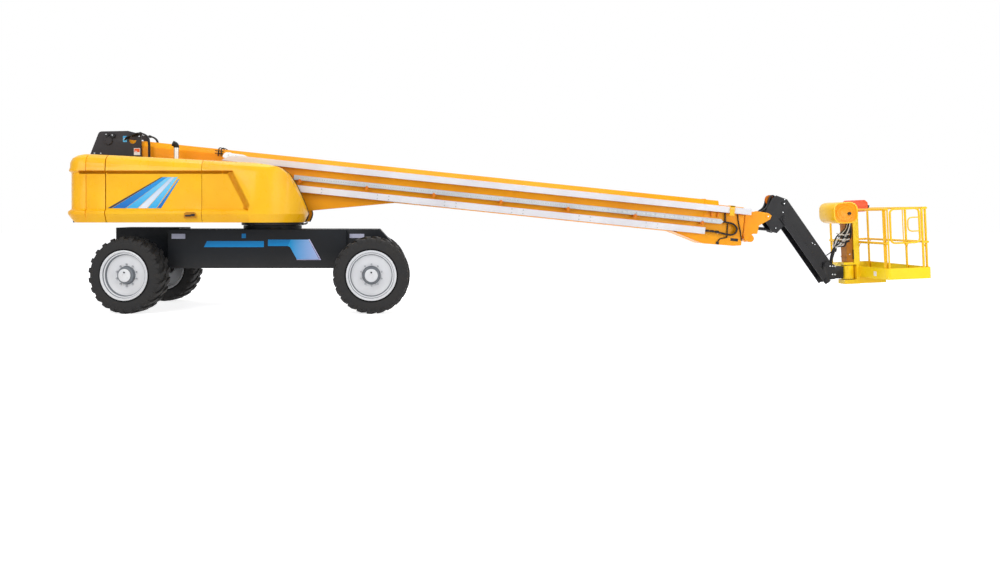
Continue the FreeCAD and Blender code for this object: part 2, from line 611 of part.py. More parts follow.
def make_hose_track():
    """Hose rails down the boom's right side: a sliding top rail, the chain and a fixed low rail."""
    inner = "-boom_half - 14"
    top = [("top_rail_start + 350", "top_rail_v"), ("top_rail_end", "top_rail_v"),
           ("top_rail_end", "top_rail_v - top_rail_high"), ("top_rail_start", "top_rail_v - top_rail_high"),
           ("top_rail_start + 120", "top_rail_v - 20")]
    rail = extruded("top_rail", "XZ_Plane", [top], "%s - rail_depth" % inner, inner)
    bracket = box("top_rail_bracket", ("top_rail_end - 64", "%s - 4" % inner, "chamfer_v * -1 - 40"),
                  ("mid_front", "section_step - boom_half", "top_rail_v - 70"))
    finish("hose_rail_top", fused("top_rail_fused", [rail, bracket]), boom_frame)
    run = [("rail_start", "chain_v - chain_high"), ("chain_end - 40", "chain_v - chain_high"),
           ("chain_end", "chain_v - chain_high / 2"), ("chain_end - 40", "chain_v"), ("rail_start", "chain_v")]
    chain = extruded("chain_run", "XZ_Plane", [run], "%s - rail_depth + 14" % inner, inner)
    finish("hose_chain", chain, boom_frame)
    edge = [("rail_start", "low_rail_v - low_rail_high"), ("low_rail_end", "low_rail_v - low_rail_high"),
            ("low_rail_end", "low_rail_v"), ("rail_start", "low_rail_v")]
    low = extruded("low_rail", "XZ_Plane", [edge], "%s - rail_depth" % inner, inner)
    finish("hose_rail_low", low, boom_frame)


def make_cylinder(tag, pin, eye, barrel_radius, rod_radius, barrel_share, width, foot_pin, eye_width, closing):
    """Hydraulic cylinder of the XZ plane: barrel with its foot eye, and rod with a pin of its own.

    Closing is how far the rod still has to slide into the barrel from where it stands.
    """
    span = eye - pin
    length = span.Length
    frame = Placement(pin, Rotation(Vector(0, 1, 0), math.degrees(math.atan2(-span.z, span.x))))
    tube = prism(tag + "_tube", "X", (str(foot_pin * 1.2), "0", "0"), str(barrel_radius),
                 str(length * barrel_share - foot_pin * 1.2), 16)
    foot = prism(tag + "_foot", "Y", ("0", str(-width / 2), "0"), str(barrel_radius * 1.05), str(width), 16)
    foot_bore = rod(tag + "_foot_bore", "Y", ("0", str(-width / 2), "0"), str(foot_pin + 0.08), str(width))
    start = barrel_radius * 1.3
    bore = prism(tag + "_bore", "X", (str(start), "0", "0"), str(rod_radius + 1.5), str(length), 12)
    finish(tag + "_barrel", carved(tag + "_barrel_cut", fused(tag + "_barrel_fused", [tube, foot]),
                                   [foot_bore, bore]), frame)
    inside = start + closing + 12
    ram = prism(tag + "_ram", "X", (str(inside), "0", "0"), str(rod_radius), str(length - inside), 12)
    head = prism(tag + "_eye", "Y", (str(length), str(-width / 2), "0"), str(rod_radius * 1.6), str(width), 16)
    head_pin = prism(tag + "_eye_pin", "Y", (str(length), str(-eye_width / 2), "0"), str(rod_radius * 0.8),
                     str(eye_width), 12)
    finish(tag + "_rod", fused(tag + "_rod_fused", [ram, head, head_pin]), frame)


# ---------------------------------------------------------------- knuckle, jib and support
def make_knuckle():
    """Levelled knuckle: two plates between the boom head's lugs, carrying both jib pivots."""
    px, pz = level_pin.x, level_pin.z
    ax, az = size("jib_pin_x"), size("jib_pin_z")
    drop = size("link_drop")
    outline = [(px - 45, pz + 20), (px - 38, pz - 45), (px + 90, pz - 250), (px + 165, pz - 270),
               (ax + 55, az - drop - 50), (ax + 62, az - drop + 25), (ax + 70, az + 20), (ax + 30, az + 75),
               (ax - 120, az + 130), (ax - 190, az + 85)]
    inner, outer = size("plate_in"), size("plate_out")
    plates = [plate(outline, -outer, -inner), plate(outline, inner, outer)]
    radius = size("jib_pin_radius")
    reach = size("bar_out") + 4
    pins = [pin_bar(px, pz, 24, -outer - 40, outer + 40), pin_bar(ax, az, radius, -outer, outer),
            pin_bar(ax, az - drop, radius, -reach, reach)]
    web = plate([(px + 10, pz + 60), (px + 30, pz + 50), (ax - 175, az + 70), (ax - 190, az + 85)], -inner, inner)
    body = plates[0].multiFuse(plates[1:] + pins + [web])
    finish("jib_knuckle", shaped("knuckle_welded", body))


def pin_bar(x, z, radius, low, high):
    """Sixteen-sided pin across the machine."""
    corners = [(x + radius * math.cos(math.tau * turn / 16), z + radius * math.sin(math.tau * turn / 16))
               for turn in range(16)]
    return plate(corners, low, high)


def make_jib():
    """Jib arm (open-bottomed box) and the pair of levelling bars below it."""
    half = size("jib_half")
    depth = size("jib_depth") / 2
    length = size("jib_length")
    sides = plate([(-60, -depth * 0.75), (-30, -depth), (length - 40, -depth), (length + 60, -depth * 0.5),
                   (length + 60, depth * 0.6), (length, depth), (-20, depth), (-75, depth * 0.55),
                   (-75, -depth * 0.4)], -half, half)
    arm = sides.cut(slab(-100, length - 85, -half + 10, half - 10, -depth - 5, depth - 12))
    boss = plate([(38 * math.cos(math.tau * turn / 12), 38 * math.sin(math.tau * turn / 12))
                  for turn in range(12)], -half, half)
    arm = arm.fuse(boss)
    arm = arm.cut(Part.makeCylinder(size("jib_pin_radius") + 0.08, 2 * half + 10, Vector(0, -half - 5, 0),
                                    Vector(0, 1, 0)))
    arm = arm.cut(pin_bar(length, 0, size("jib_pin_radius") * 1.03, -half - 5, half + 5))
    finish("jib_arm", shaped("jib_arm_box", arm), jib_frame)
    bars = []
    deep = size("link_depth") / 2
    for low, high in ((-size("bar_out"), -size("bar_in")), (size("bar_in"), size("bar_out"))):
        bar = slab(-50, length + 50, low, high, -deep, deep)
        bar = bar.cut(Part.makeCylinder(size("jib_pin_radius") + 0.08, 20, Vector(0, low - 3, 0), Vector(0, 1, 0)))
        bars.append(bar.cut(pin_bar(length, 0, size("jib_pin_radius") * 1.03, low - 3, high + 3)))
    finish("jib_link", shaped("jib_link_bars", Part.makeCompound(bars)), link_frame)


def make_support():
    """Black bracket at the jib's end that holds the platform's rotary actuator."""
    ex, ez = jib_end.x, jib_end.z
    drop = size("link_drop")
    inner, outer = size("plate_in"), size("plate_out")
    outline = [(ex - 40, ez + 30), (ex + 20, ez + 50), (ex + 150, ez - 20), (ex + 150, ez - 240),
               (ex + 60, ez - 250), (ex + 45, ez - drop - 45), (ex - 30, ez - drop - 45), (ex - 45, ez - drop)]
    plates = [plate(outline, -outer, -inner), plate(outline, inner, outer)]
    radius = size("jib_pin_radius")
    block = slab(ex + 120, ex + 290, -inner, inner, size("support_low_z") + 34, size("support_high_z") - 50)
    axis_x = size("rotator_x")
    low, high = size("support_low_z"), size("support_high_z")
    drum = plate([(axis_x + 92 * math.cos(math.tau * turn / 24), 92 * math.sin(math.tau * turn / 24))
                  for turn in range(24)], low + 8, high - 48, "Z")
    drum = drum.transformGeometry(platform_frame.toMatrix())
    reach = size("bar_out") + 4
    pins = [pin_bar(ex, ez, radius, -outer, outer), pin_bar(ex, ez - drop, radius, inner, reach),
            pin_bar(ex, ez - drop, radius, -reach, -inner)]
    body = block.multiFuse(plates + [drum] + pins)
    finish("platform_support", shaped("support_welded", body))


# ---------------------------------------------------------------- platform
def make_mount():
    """Yellow yoke round the rotary actuator, mast up to the rails and arm under the floor."""
    axis_x = size("rotator_x")
    low, high = size("support_low_z"), size("support_high_z")
    rear = size("platform_rear_x")
    lower = slab(axis_x - 100, axis_x + 130, -105, 105, low - 70, low)
    upper = slab(axis_x - 100, axis_x + 130, -105, 105, high - 40, high)
    back = slab(axis_x + 102, rear, -110, 110, low - 70, high)
    mast = slab(axis_x + 60, rear, -120, -100, high - 40, size("rail_top_z") - 180)
    mast_left = slab(axis_x + 60, rear, 100, 120, high - 40, size("rail_top_z") - 180)
    cap = slab(axis_x + 60, rear, -120, 120, size("rail_top_z") - 200, size("rail_top_z") - 180)
    under = slab(axis_x + 102, rear + 440, -70, 70, low - 70, size("floor_z"))
    finish("platform_mount", shaped("mount_welded", lower.multiFuse([upper, back, mast, mast_left, cap, under])),
           platform_frame)


def platform_outline(inset, low, high):
    """Platform's floor plan with cut corners, as a solid between two heights."""
    x_low = size("platform_rear_x") + inset
    x_high = size("platform_rear_x + platform_width") - inset
    y_high = size("platform_half") - inset
    radius = size("corner_radius") - inset * 0.6
    corners = []
    for x, y, turn in ((x_low + radius, -y_high + radius, 180), (x_high - radius, -y_high + radius, 270),
                       (x_high - radius, y_high - radius, 0), (x_low + radius, y_high - radius, 90)):
        for step in range(4):
            angle = math.radians(turn + 30 * step)
            corners.append((x + radius * math.cos(angle), y + radius * math.sin(angle)))
    return plate(corners, low, high, "Z")


def make_platform():
    """Floor with its toe boards, tube rails round it, swing gate at the right-hand end."""
    floor = size("floor_z")
    toe = size("toe_plate")
    board = platform_outline(0, floor, floor + size("toe_height"))
    hollow = platform_outline(toe, floor + 26, floor + size("toe_height") + 10)
    finish("platform_floor", shaped("floor_pressed", board.cut(hollow)), platform_frame)
    x_low = size("platform_rear_x") + 22
    x_high = size("platform_rear_x + platform_width") - 22
    y_high = size("platform_half") - 22
    radius = size("rail_radius")
    post = size("post_radius")
    hinge_x = x_low + 62
    latch_x = x_high - 132
    rails = []
    for height in (size("rail_top_z") - radius, size("rail_mid_z")):
        route = [Vector(hinge_x - 40, -y_high, height), Vector(x_low, -y_high, height),
                 Vector(x_low, y_high, height), Vector(x_high, y_high, height),
                 Vector(x_high, -y_high, height), Vector(latch_x + 40, -y_high, height)]
        rails.append(tube_along(route, radius))
    places = [(x_low, -y_high + 70), (latch_x + 40, -y_high), (x_high, -y_high + 70), (x_low, -50.0),
              (x_low, y_high - 70), (x_high, -0.33 * y_high), (x_high, 0.33 * y_high), (x_high, y_high - 70),
              ((x_low + x_high) / 2, y_high)]
    top = size("rail_top_z") - radius
    posts = [tube_along([Vector(x, y, floor + 26), Vector(x, y, top)], post, 0, 6) for x, y in places]
    posts.append(tube_along([Vector(hinge_x - 40, -y_high, floor + 26), Vector(hinge_x - 40, -y_high, top)],
                            post - 5, 0, 6))
    finish("platform_rails", shaped("rails_welded", rails[0].multiFuse(rails[1:] + posts)), platform_frame)
    low = size("rail_mid_z")
    loop = [Vector((hinge_x + latch_x) / 2, -y_high, low), Vector(latch_x, -y_high, low),
            Vector(latch_x, -y_high, top), Vector(hinge_x, -y_high, top), Vector(hinge_x, -y_high, low),
            Vector((hinge_x + latch_x) / 2 - 1, -y_high, low)]
    gate = tube_along(loop, 15, 90)
    high, near = floor + 935, latch_x - 175
    handle = tube_along([Vector(latch_x, -y_high, high), Vector(near, -y_high, high),
                         Vector(near, -y_high, high - 210), Vector(latch_x, -y_high, high - 210)], 10, 60)
    finish("gate", shaped("gate_bent", gate.fuse(handle)), platform_frame)


def make_console():
    """Rounded console housing outside the rear rail, and the control box with its orange cover."""
    rear, top = size("platform_rear_x"), size("rail_top_z")
    low, high = Vector(rear - 541, -445, top - 181), Vector(rear - 157, 45, top + 102)
    housing = Part.makeBox(high.x - low.x, high.y - low.y, high.z - low.z, low)
    long_edges = [edge for edge in housing.Edges if abs(edge.tangentAt(edge.FirstParameter).y) > 0.9]
    housing = housing.makeChamfer(70, long_edges)
    arms = [slab(rear - 207, rear + 3, y, y + 40, top - 55, top - 25) for y in (-110, 0)]
    finish("console_housing", shaped("console_moulded", housing.multiFuse(arms)), platform_frame)
    box_low, box_high = Vector(rear + 45, 120, top - 55), Vector(rear + 303, 480, top + 135)
    panel = Part.makeBox(box_high.x - box_low.x, box_high.y - box_low.y, box_high.z - box_low.z, box_low)
    edges = [edge for edge in panel.Edges if abs(edge.tangentAt(edge.FirstParameter).y) > 0.9]
    finish("control_box", shaped("control_moulded", panel.makeChamfer(45, edges)), platform_frame)


# ---------------------------------------------------------------- build everything
make_chassis()
make_axle("axle_front", "(rear_axle_x + wheelbase)")
make_axle("axle_rear", "rear_axle_x")
for wheel_tag, is_front, wheel_side in (("fr", True, -1), ("fl", True, 1), ("rr", False, -1), ("rl", False, 1)):
    make_wheel(wheel_tag, is_front, wheel_side)
make_turntable()
make_hoods()
make_engine()
make_boom()
make_hose_track()
make_cylinder("lift", Vector(-5600, 0, 1630), boom_frame.multVec(Vector(2800, 0, -680)), 80, 52, 0.66, 150, 34,
              250, 0)
level_foot = boom_frame.multVec(Vector(size("boom_length") - 230, 0, -330))
make_cylinder("level", level_foot, level_pin + Vector(140, 0, -216), 42, 26, 0.62, 70, 26, 150, 340)
jib_lug = jib_frame.multVec(Vector(size("jib_length") - 186, 0, -size("jib_depth") / 2 + 28))
make_cylinder("jib", Vector(size("jib_pin_x"), 0, size("jib_pin_z - link_drop")), jib_lug, 36, 20, 0.7, 56, 22,
              110, 25)
make_knuckle()
make_jib()
make_support()
make_mount()
make_platform()
make_console()
doc.recompute()

faults = [item.Label for item in doc.Objects if "Invalid" in item.State or "Error" in item.State]
for node, piece in FINISHED.items():
    if piece.Shape.isNull() or not piece.Shape.isValid():
        faults.append(node)
if faults:
    raise SystemExit("failed: " + ", ".join(faults))
for node, piece in FINISHED.items():
    piece.Shape.exportStep("parts/%s.step" % node)
print(len(FINISHED), "sub-parts written")
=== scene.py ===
import json
import math

import bmesh
import bpy
from mathutils import Matrix, Vector


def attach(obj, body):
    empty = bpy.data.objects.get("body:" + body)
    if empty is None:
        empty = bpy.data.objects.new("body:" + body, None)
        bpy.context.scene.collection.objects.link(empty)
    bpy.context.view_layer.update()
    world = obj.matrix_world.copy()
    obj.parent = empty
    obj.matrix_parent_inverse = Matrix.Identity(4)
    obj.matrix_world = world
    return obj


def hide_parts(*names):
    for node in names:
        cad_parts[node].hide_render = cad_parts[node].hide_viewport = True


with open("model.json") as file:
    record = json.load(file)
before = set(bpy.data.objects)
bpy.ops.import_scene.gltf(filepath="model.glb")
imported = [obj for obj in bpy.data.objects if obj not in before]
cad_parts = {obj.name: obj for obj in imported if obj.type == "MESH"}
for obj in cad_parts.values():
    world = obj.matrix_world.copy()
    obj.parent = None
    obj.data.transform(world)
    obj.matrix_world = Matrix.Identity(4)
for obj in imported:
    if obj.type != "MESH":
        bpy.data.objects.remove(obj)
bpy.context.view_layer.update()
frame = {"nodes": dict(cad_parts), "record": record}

# ---------------------------- camera
# Level side view of the machine's right, from a little under five feet up and just
# behind the middle; the lens is shifted instead of tilted, so uprights stay upright.
eye = bpy.data.cameras.new("side_camera")
eye.lens = 32.8
eye.sensor_width = 36.0
eye.shift_x = 0.1135
eye.shift_y = -0.0661
eye.clip_end = 200.0
camera = bpy.data.objects.new("side_camera", eye)
bpy.context.collection.objects.link(camera)
camera.location = (-1.75, -14.745, 1.47)
camera.rotation_euler = (math.radians(90), 0, 0)
bpy.context.scene.camera = camera
bpy.context.scene.view_settings.view_transform = "Standard"


# ---------------------------- studio
# Pale floor and white surround. Soft lamps above and in front light the machine;
# the whiteness behind comes from what camera, glossy and transmission rays see.
def linear(colour):
    """Linear colour of an sRGB hex value."""
    parts = [int(colour[place:place + 2], 16) / 255 for place in (1, 3, 5)]
    levels = [part / 12.92 if part <= 0.04045 else ((part + 0.055) / 1.055) ** 2.4 for part in parts]
    return (*levels, 1.0)


def add_node(tree, kind, settings=None, *links):
    """Add a node, give it its settings, and link (source, output, input) into it."""
    node = tree.nodes.new(kind)
    for name, value in (settings or {}).items():
        if isinstance(name, int) or name in node.inputs:
            node.inputs[name].default_value = value
        else:
            setattr(node, name, value)
    for source, output, place in links:
        tree.links.new(source.outputs[output], node.inputs[place])
    return node


def plain_sight(tree):
    """Node that is 1 for what is seen straight, by reflection or through glass, and 0 for other light."""
    sight = add_node(tree, "ShaderNodeLightPath")
    direct = add_node(tree, "ShaderNodeMath", {"operation": "MAXIMUM"}, (sight, "Is Camera Ray", 0),
                      (sight, "Is Glossy Ray", 1))
    return add_node(tree, "ShaderNodeMath", {"operation": "MAXIMUM"}, (direct, 0, 0),
                    (sight, "Is Transmission Ray", 1))


def noise(tree, place, scale, detail, roughness=0.5):
    """Fine or coarse noise over a piece's own coordinates."""
    return add_node(tree, "ShaderNodeTexNoise", {"Scale": scale, "Detail": detail, "Roughness": roughness},
                    (place, "Object", "Vector"))


def gloss_range(tree, source, low, high):
    """Roughness between two values, driven by a noise."""
    return add_node(tree, "ShaderNodeMapRange", {1: 0.3, 2: 0.7, 3: low, 4: high}, (source, "Fac", 0))


def ramp(tree, source, output, *stops):
    """Colours by place along a noise or an axis."""
    node = add_node(tree, "ShaderNodeValToRGB", {}, (source, output, 0))
    for element, (position, colour) in zip(node.color_ramp.elements, stops):
        element.position = position
        element.color = linear(colour)
    return node


def empty_material(name):
    """A new material and its cleared node tree."""
    material = bpy.data.materials.new(name)
    material.use_nodes = True
    material.node_tree.nodes.clear()
    return material, material.node_tree


studio = bpy.data.worlds.new("studio")
bpy.context.scene.world = studio
studio.use_nodes = True
sky = studio.node_tree
sky.nodes.clear()
ambient = add_node(sky, "ShaderNodeBackground", {"Color": linear("#F4F7FF"), "Strength": 0.34})
white = add_node(sky, "ShaderNodeBackground", {"Color": (1, 1, 1, 1), "Strength": 1.0})
surround = add_node(sky, "ShaderNodeMixShader", {}, (plain_sight(sky), 0, 0), (ambient, 0, 1), (white, 0, 2))
add_node(sky, "ShaderNodeOutputWorld", {}, (surround, 0, 0))

ground = bpy.data.meshes.new("studio_floor")
plane = bmesh.new()
bmesh.ops.create_grid(plane, x_segments=1, y_segments=1, size=60.0)
plane.to_mesh(ground)
plane.free()
floor = bpy.data.objects.new("studio_floor", ground)
bpy.context.collection.objects.link(floor)
paper, tree = empty_material("pale_floor_paper")
sheet_white = add_node(tree, "ShaderNodeBsdfDiffuse", {"Color": linear("#F2F2F2")})
lift = add_node(tree, "ShaderNodeEmission", {"Color": (1, 1, 1, 1), "Strength": 0.8})
both = add_node(tree, "ShaderNodeAddShader", {}, (sheet_white, 0, 0), (lift, 0, 1))
mixed = add_node(tree, "ShaderNodeMixShader", {}, (plain_sight(tree), 0, 0), (sheet_white, 0, 1),
                 (both, 0, 2))
add_node(tree, "ShaderNodeOutputMaterial", {}, (mixed, 0, 0))
ground.materials.append(paper)

for name, spot, aim, size, power in (
        ("key_softbox", (-9.0, -13.0, 9.0), (-1.0, 0.0, 1.2), 9.0, 980.0),
        ("front_softbox", (9.0, -13.0, 5.0), (2.0, 0.0, 1.2), 8.0, 440.0),
        ("basket_softbox", (8.5, -5.0, 2.6), (6.0, 0.0, 1.0), 2.5, 80.0),
        ("top_softbox", (0.0, 1.0, 11.0), (0.0, 0.0, 0.0), 12.0, 1050.0)):
    lamp = bpy.data.lights.new(name, "AREA")
    lamp.energy = power
    lamp.size = size
    holder = bpy.data.objects.new(name, lamp)
    bpy.context.collection.objects.link(holder)
    holder.location = spot
    holder.rotation_euler = (Vector(aim) - Vector(spot)).to_track_quat("-Z", "Y").to_euler()


# ---------------------------- yellow panels
# Pressed steel and moulded covers in two-pack yellow enamel: an even gloss with the
# faint orange peel of a sprayed coat, and a slow drift between two close tones.
def enamel(name, colour, shade, gloss=0.34, coat=0.12, shine=0.3,
           dust="#B9A98C", dust_low=0.0, dust_high=0.01):
    """Sprayed enamel: colour drifts between two tones, with fine orange peel and settled dust."""
    material, tree = empty_material(name)
    place = add_node(tree, "ShaderNodeTexCoord")
    tone = ramp(tree, noise(tree, place, 1.3, 3.0), "Fac", (0.38, shade), (0.62, colour))
    high = add_node(tree, "ShaderNodeSeparateXYZ", {}, (place, "Object", 0))
    settle = add_node(tree, "ShaderNodeMapRange", {1: dust_low, 2: dust_high, 3: 0.35, 4: 0.0},
                      (high, "Z", 0))
    speck = noise(tree, place, 9.0, 6.0, 0.7)
    patchy = add_node(tree, "ShaderNodeMath", {"operation": "MULTIPLY"}, (settle, 0, 0), (speck, "Fac", 1))
    soiled = add_node(tree, "ShaderNodeMix", {"data_type": "RGBA", 7: linear(dust)}, (patchy, 0, 0),
                      (tone, 0, 6))
    sheen = gloss_range(tree, speck, gloss - 0.05, gloss + 0.09)
    skin = noise(tree, place, 260.0, 1.0)
    relief = add_node(tree, "ShaderNodeBump", {"Strength": 0.12, "Distance": 0.0035},
                      (skin, "Fac", "Height"))
    surface = add_node(tree, "ShaderNodeBsdfPrincipled",
                       {"Metallic": 0.0, "IOR": 1.5, "Specular IOR Level": shine, "Coat Weight": coat,
                        "Coat Roughness": 0.12},
                       (soiled, 2, "Base Color"), (sheen, 0, "Roughness"), (relief, 0, "Normal"))
    add_node(tree, "ShaderNodeOutputMaterial", {}, (surface, 0, 0))
    return material


def dressed(node, name, material, softness=0.004, angle=32, flatten=1.0):
    """Copy of a sub-part's own shape with welded facets, rounded edges and smooth shading."""
    source = frame["nodes"][node]
    shape = bmesh.new()
    shape.from_mesh(source.data)
    bmesh.ops.remove_doubles(shape, verts=shape.verts, dist=0.00005)
    bmesh.ops.dissolve_limit(shape, angle_limit=math.radians(flatten), verts=shape.verts, edges=shape.edges)
    face_out(shape)
    placed(shape, name, material, softness, angle, replaces=(node,), slot_of=node)


def body_of_node(node):
    """Name of the body that a sub-part belongs to."""
    for body, members in frame["record"]["behaviour"]["bodies"].items():
        if node in members:
            return body


def placed(shape, name, material, softness=0.0, angle=32, body=None, replaces=(), slot_of=None):
    """Turn a bmesh into a finished piece on its body."""
    mesh = bpy.data.meshes.new(name)
    shape.to_mesh(mesh)
    shape.free()
    for item in (material if isinstance(material, (list, tuple)) else (material,)):
        mesh.materials.append(item)
    piece = bpy.data.objects.new(name, mesh)
    bpy.context.collection.objects.link(piece)
    for face in mesh.polygons:
        face.use_smooth = True
    mesh.set_sharp_from_angle(angle=math.radians(angle))
    if softness:
        rounding = piece.modifiers.new("rounded_edges", "BEVEL")
        rounding.width = softness
        rounding.segments = 2
        rounding.limit_method = "ANGLE"
        rounding.angle_limit = math.radians(angle)
        rounding.use_clamp_overlap = True
        rounding.harden_normals = True
    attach(piece, body or body_of_node(slot_of))
    if replaces:
        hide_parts(*replaces)


def face_out(shape, seat=None):
    """Move a shape to its seat on the machine, if it has one, and turn its faces outward."""
    if seat:
        bmesh.ops.transform(shape, matrix=seat, verts=shape.verts)
    bmesh.ops.recalc_face_normals(shape, faces=shape.faces)


def paint(verts, index):
    """Give the faces round some points one of their piece's materials."""
    for face in {face for vert in verts for face in vert.link_faces}:
        face.material_index = index


def quads(shape, rows, closed=False):
    """Skin between neighbouring rows of points, all the way round where the rows are closed."""
    made = []
    for near, far in zip(rows, rows[1:]):
        for step in range(len(near) if closed else len(near) - 1):
            after = (step + 1) % len(near)
            made.append(shape.faces.new((near[step], near[after], far[after], far[step])))
    return made


yellow = enamel("yellow_two_pack_enamel", "#FFC21A", "#FBB512", gloss=0.28, coat=0.1, shine=0.25)
for node in ("counterweight", "hood_right", "hood_left", "door_right", "door_left"):
    dressed(node, node + "_panel", yellow, 0.006)

# pressed slope that closes the side recess ahead of the doors, eased at both edges
flanks = ((-1, "right"), (1, "left"))
roll_y, recess_y = 1.2306, 1.1896
fold_steps = 8


def eased(share):
    """Share of a fold's depth reached at a share of its length, level at both ends."""
    return (1 - math.cos(math.pi * share)) / 2


slope_line = [(-3.800, 1.562, 0.085), (-3.781, 1.625, 0.1), (-3.893, 1.848, 0.105), (-4.003, 2.068, 0.11),
              (-4.03, 2.115, 0.12)]
for side, tag in flanks:
    shape = bmesh.new()
    columns = []
    for x, z, run in slope_line:
        outer_y = 1.235 - 0.005 * (z - 1.49) / 0.645 + 0.0006
        column = []
        for step in range(fold_steps + 1):
            share = step / fold_steps
            y = side * (outer_y + (recess_y - outer_y) * eased(share))
            column.append(shape.verts.new((x - run * share, y, z)))
        columns.append(column)
    quads(shape, columns)
    bmesh.ops.solidify(shape, geom=shape.faces[:], thickness=0.003)
    face_out(shape)
    placed(shape, "recess_slope_" + tag, yellow, 0.0, 60, body="turntable_body")

# sloped fold along the recess's upper edge, on the doors and on the panels either side
# the fold is painted a deeper amber than the panels: painted shade under the ledge
fold_painted_shade = enamel("amber_painted_shade_fold", "#EBA317", "#DD9210", gloss=0.4, coat=0.0, shine=0.15)
for side, tag in flanks:
    for body, rear_x, front_x in (("turntable", -6.32, -5.926), ("door_" + tag, -5.912, -4.196),
                                  ("turntable", -4.186, -4.036)):
        shape = bmesh.new()
        rows = []
        for step in range(fold_steps + 1):
            share = step / fold_steps
            y = side * (roll_y + (recess_y - roll_y) * eased(share))
            rows.append([shape.verts.new((x, y, 2.136 - 0.05 * share)) for x in (rear_x, front_x)])
        quads(shape, rows)
        bmesh.ops.solidify(shape, geom=shape.faces[:], thickness=0.002)
        face_out(shape)
        placed(shape, "recess_fold_%s_%d" % (tag, -rear_x * 10), fold_painted_shade, 0.0, 60, body=body + "_body")

# ---------------------------- chassis
# Welded box frame with its axle beams and steering knuckles, in black enamel that dust
# has dulled low down. The three cylinder barrels come in the same paint.
black = enamel("black_chassis_enamel", "#10141A", "#0B0E13", gloss=0.42, coat=0.04, shine=0.2,
               dust="#6E6A64",
               dust_low=0.45, dust_high=0.9)
for node in ("chassis", "axle_front", "axle_rear", "knuckle_fr", "knuckle_fl", "knuckle_rr", "knuckle_rl",
             "lift_barrel", "jib_barrel", "level_barrel"):
    dressed(node, node + "_painted", black, 0.005)

# ---------------------------- chassis stripe and plates
# Vinyl stripe along each side of the frame, cut on the slant, with a paler foot, and
# blank identity plates near the ends.
def vinyl(name, colour, shade, axis="X", start=0.0, end=1.0, gloss=0.35):
    """Printed vinyl that fades from one tone to the other along an axis of the machine."""
    material, tree = empty_material(name)
    place = add_node(tree, "ShaderNodeTexCoord")
    spread = add_node(tree, "ShaderNodeSeparateXYZ", {}, (place, "Object", 0))
    along = add_node(tree, "ShaderNodeMapRange", {1: start, 2: end, 3: 0.0, 4: 1.0}, (spread, axis, 0))
    tone = ramp(tree, along, 0, (0.0, colour), (1.0, shade))
    rough = gloss_range(tree, noise(tree, place, 60.0, 3.0), gloss - 0.04, gloss + 0.08)
    surface = add_node(tree, "ShaderNodeBsdfPrincipled", {"Metallic": 0.0, "IOR": 1.48,
                                                          "Specular IOR Level": 0.3},
                       (tone, "Color", "Base Color"), (rough, 0, "Roughness"))
    add_node(tree, "ShaderNodeOutputMaterial", {}, (surface, 0, 0))
    return material


def flat_patch(shape, corners, low, high, index=0):
    """Thin plate with corners in XZ, between two values of Y."""
    points = [shape.verts.new((x, low, z)) for x, z in corners]
    face = shape.faces.new(points)
    face.material_index = index
    raised = bmesh.ops.extrude_face_region(shape, geom=[face])["geom"]
    bmesh.ops.translate(shape, vec=(0, high - low, 0),
                        verts=[item for item in raised if isinstance(item, bmesh.types.BMVert)])
    for item in raised:
        if isinstance(item, bmesh.types.BMFace):
            item.material_index = index


def plate(shape, rear_x, front_x, low_z, high_z, low, high, index=0):
    """Thin upright rectangle between two values of Y."""
    flat_patch(shape, [(rear_x, low_z), (front_x, low_z), (front_x, high_z), (rear_x, high_z)], low, high,
               index)


stripe_blue = vinyl("blue_side_vinyl", "#0092DC", "#0079BC", "Z", 0.98, 1.09)
stripe_foot = vinyl("pale_blue_side_vinyl", "#1FA0E4", "#B4C2F0", "X", -3.25, -2.78)
stripe_edge = vinyl("lilac_edge_vinyl", "#D6D2F4", "#C9C6F0", "X", -3.2, -2.8)
frame_side, stripe_side, plate_side = 0.5205, 0.5235, 0.5225
shape = bmesh.new()
for side in (-1, 1):
    face = side * frame_side
    out = side * stripe_side
    flat_patch(shape, [(-4.60, 0.975), (-3.665, 0.975), (-3.665, 1.07), (-4.552, 1.07)], face, out, 0)
    flat_patch(shape, [(-3.60, 0.992), (-3.29, 0.992), (-3.245, 1.092), (-3.60, 1.092)], face, out, 0)
    flat_patch(shape, [(-3.29, 0.992), (-3.255, 0.975), (-3.148, 0.781), (-2.80, 0.781), (-2.968, 1.092),
                       (-3.245, 1.092)], face, out, 1)
    flat_patch(shape, [(-2.968, 1.098), (-2.95, 1.098), (-2.772, 0.775), (-3.155, 0.775), (-3.148, 0.785),
                       (-2.793, 0.785)], face, out, 2)
face_out(shape)
placed(shape, "side_stripe", (stripe_blue, stripe_foot, stripe_edge), 0.0, body="chassis_body")
plate_grey = vinyl("blank_label_plate", "#C9CADD", "#B9BACF", "X", -5.1, -4.89)
shape = bmesh.new()
for side in (-1, 1):
    plate(shape, -5.106, -4.892, 1.106, 1.183, side * frame_side, side * plate_side)
    plate(shape, -2.33, -2.10, 1.115, 1.18, side * 0.4205, side * 0.4225)
    plate(shape, -4.01, -3.945, 1.115, 1.185, side * frame_side, side * plate_side, 1)
face_out(shape)
placed(shape, "chassis_plates", (plate_grey, stripe_blue), 0.0, body="chassis_body")

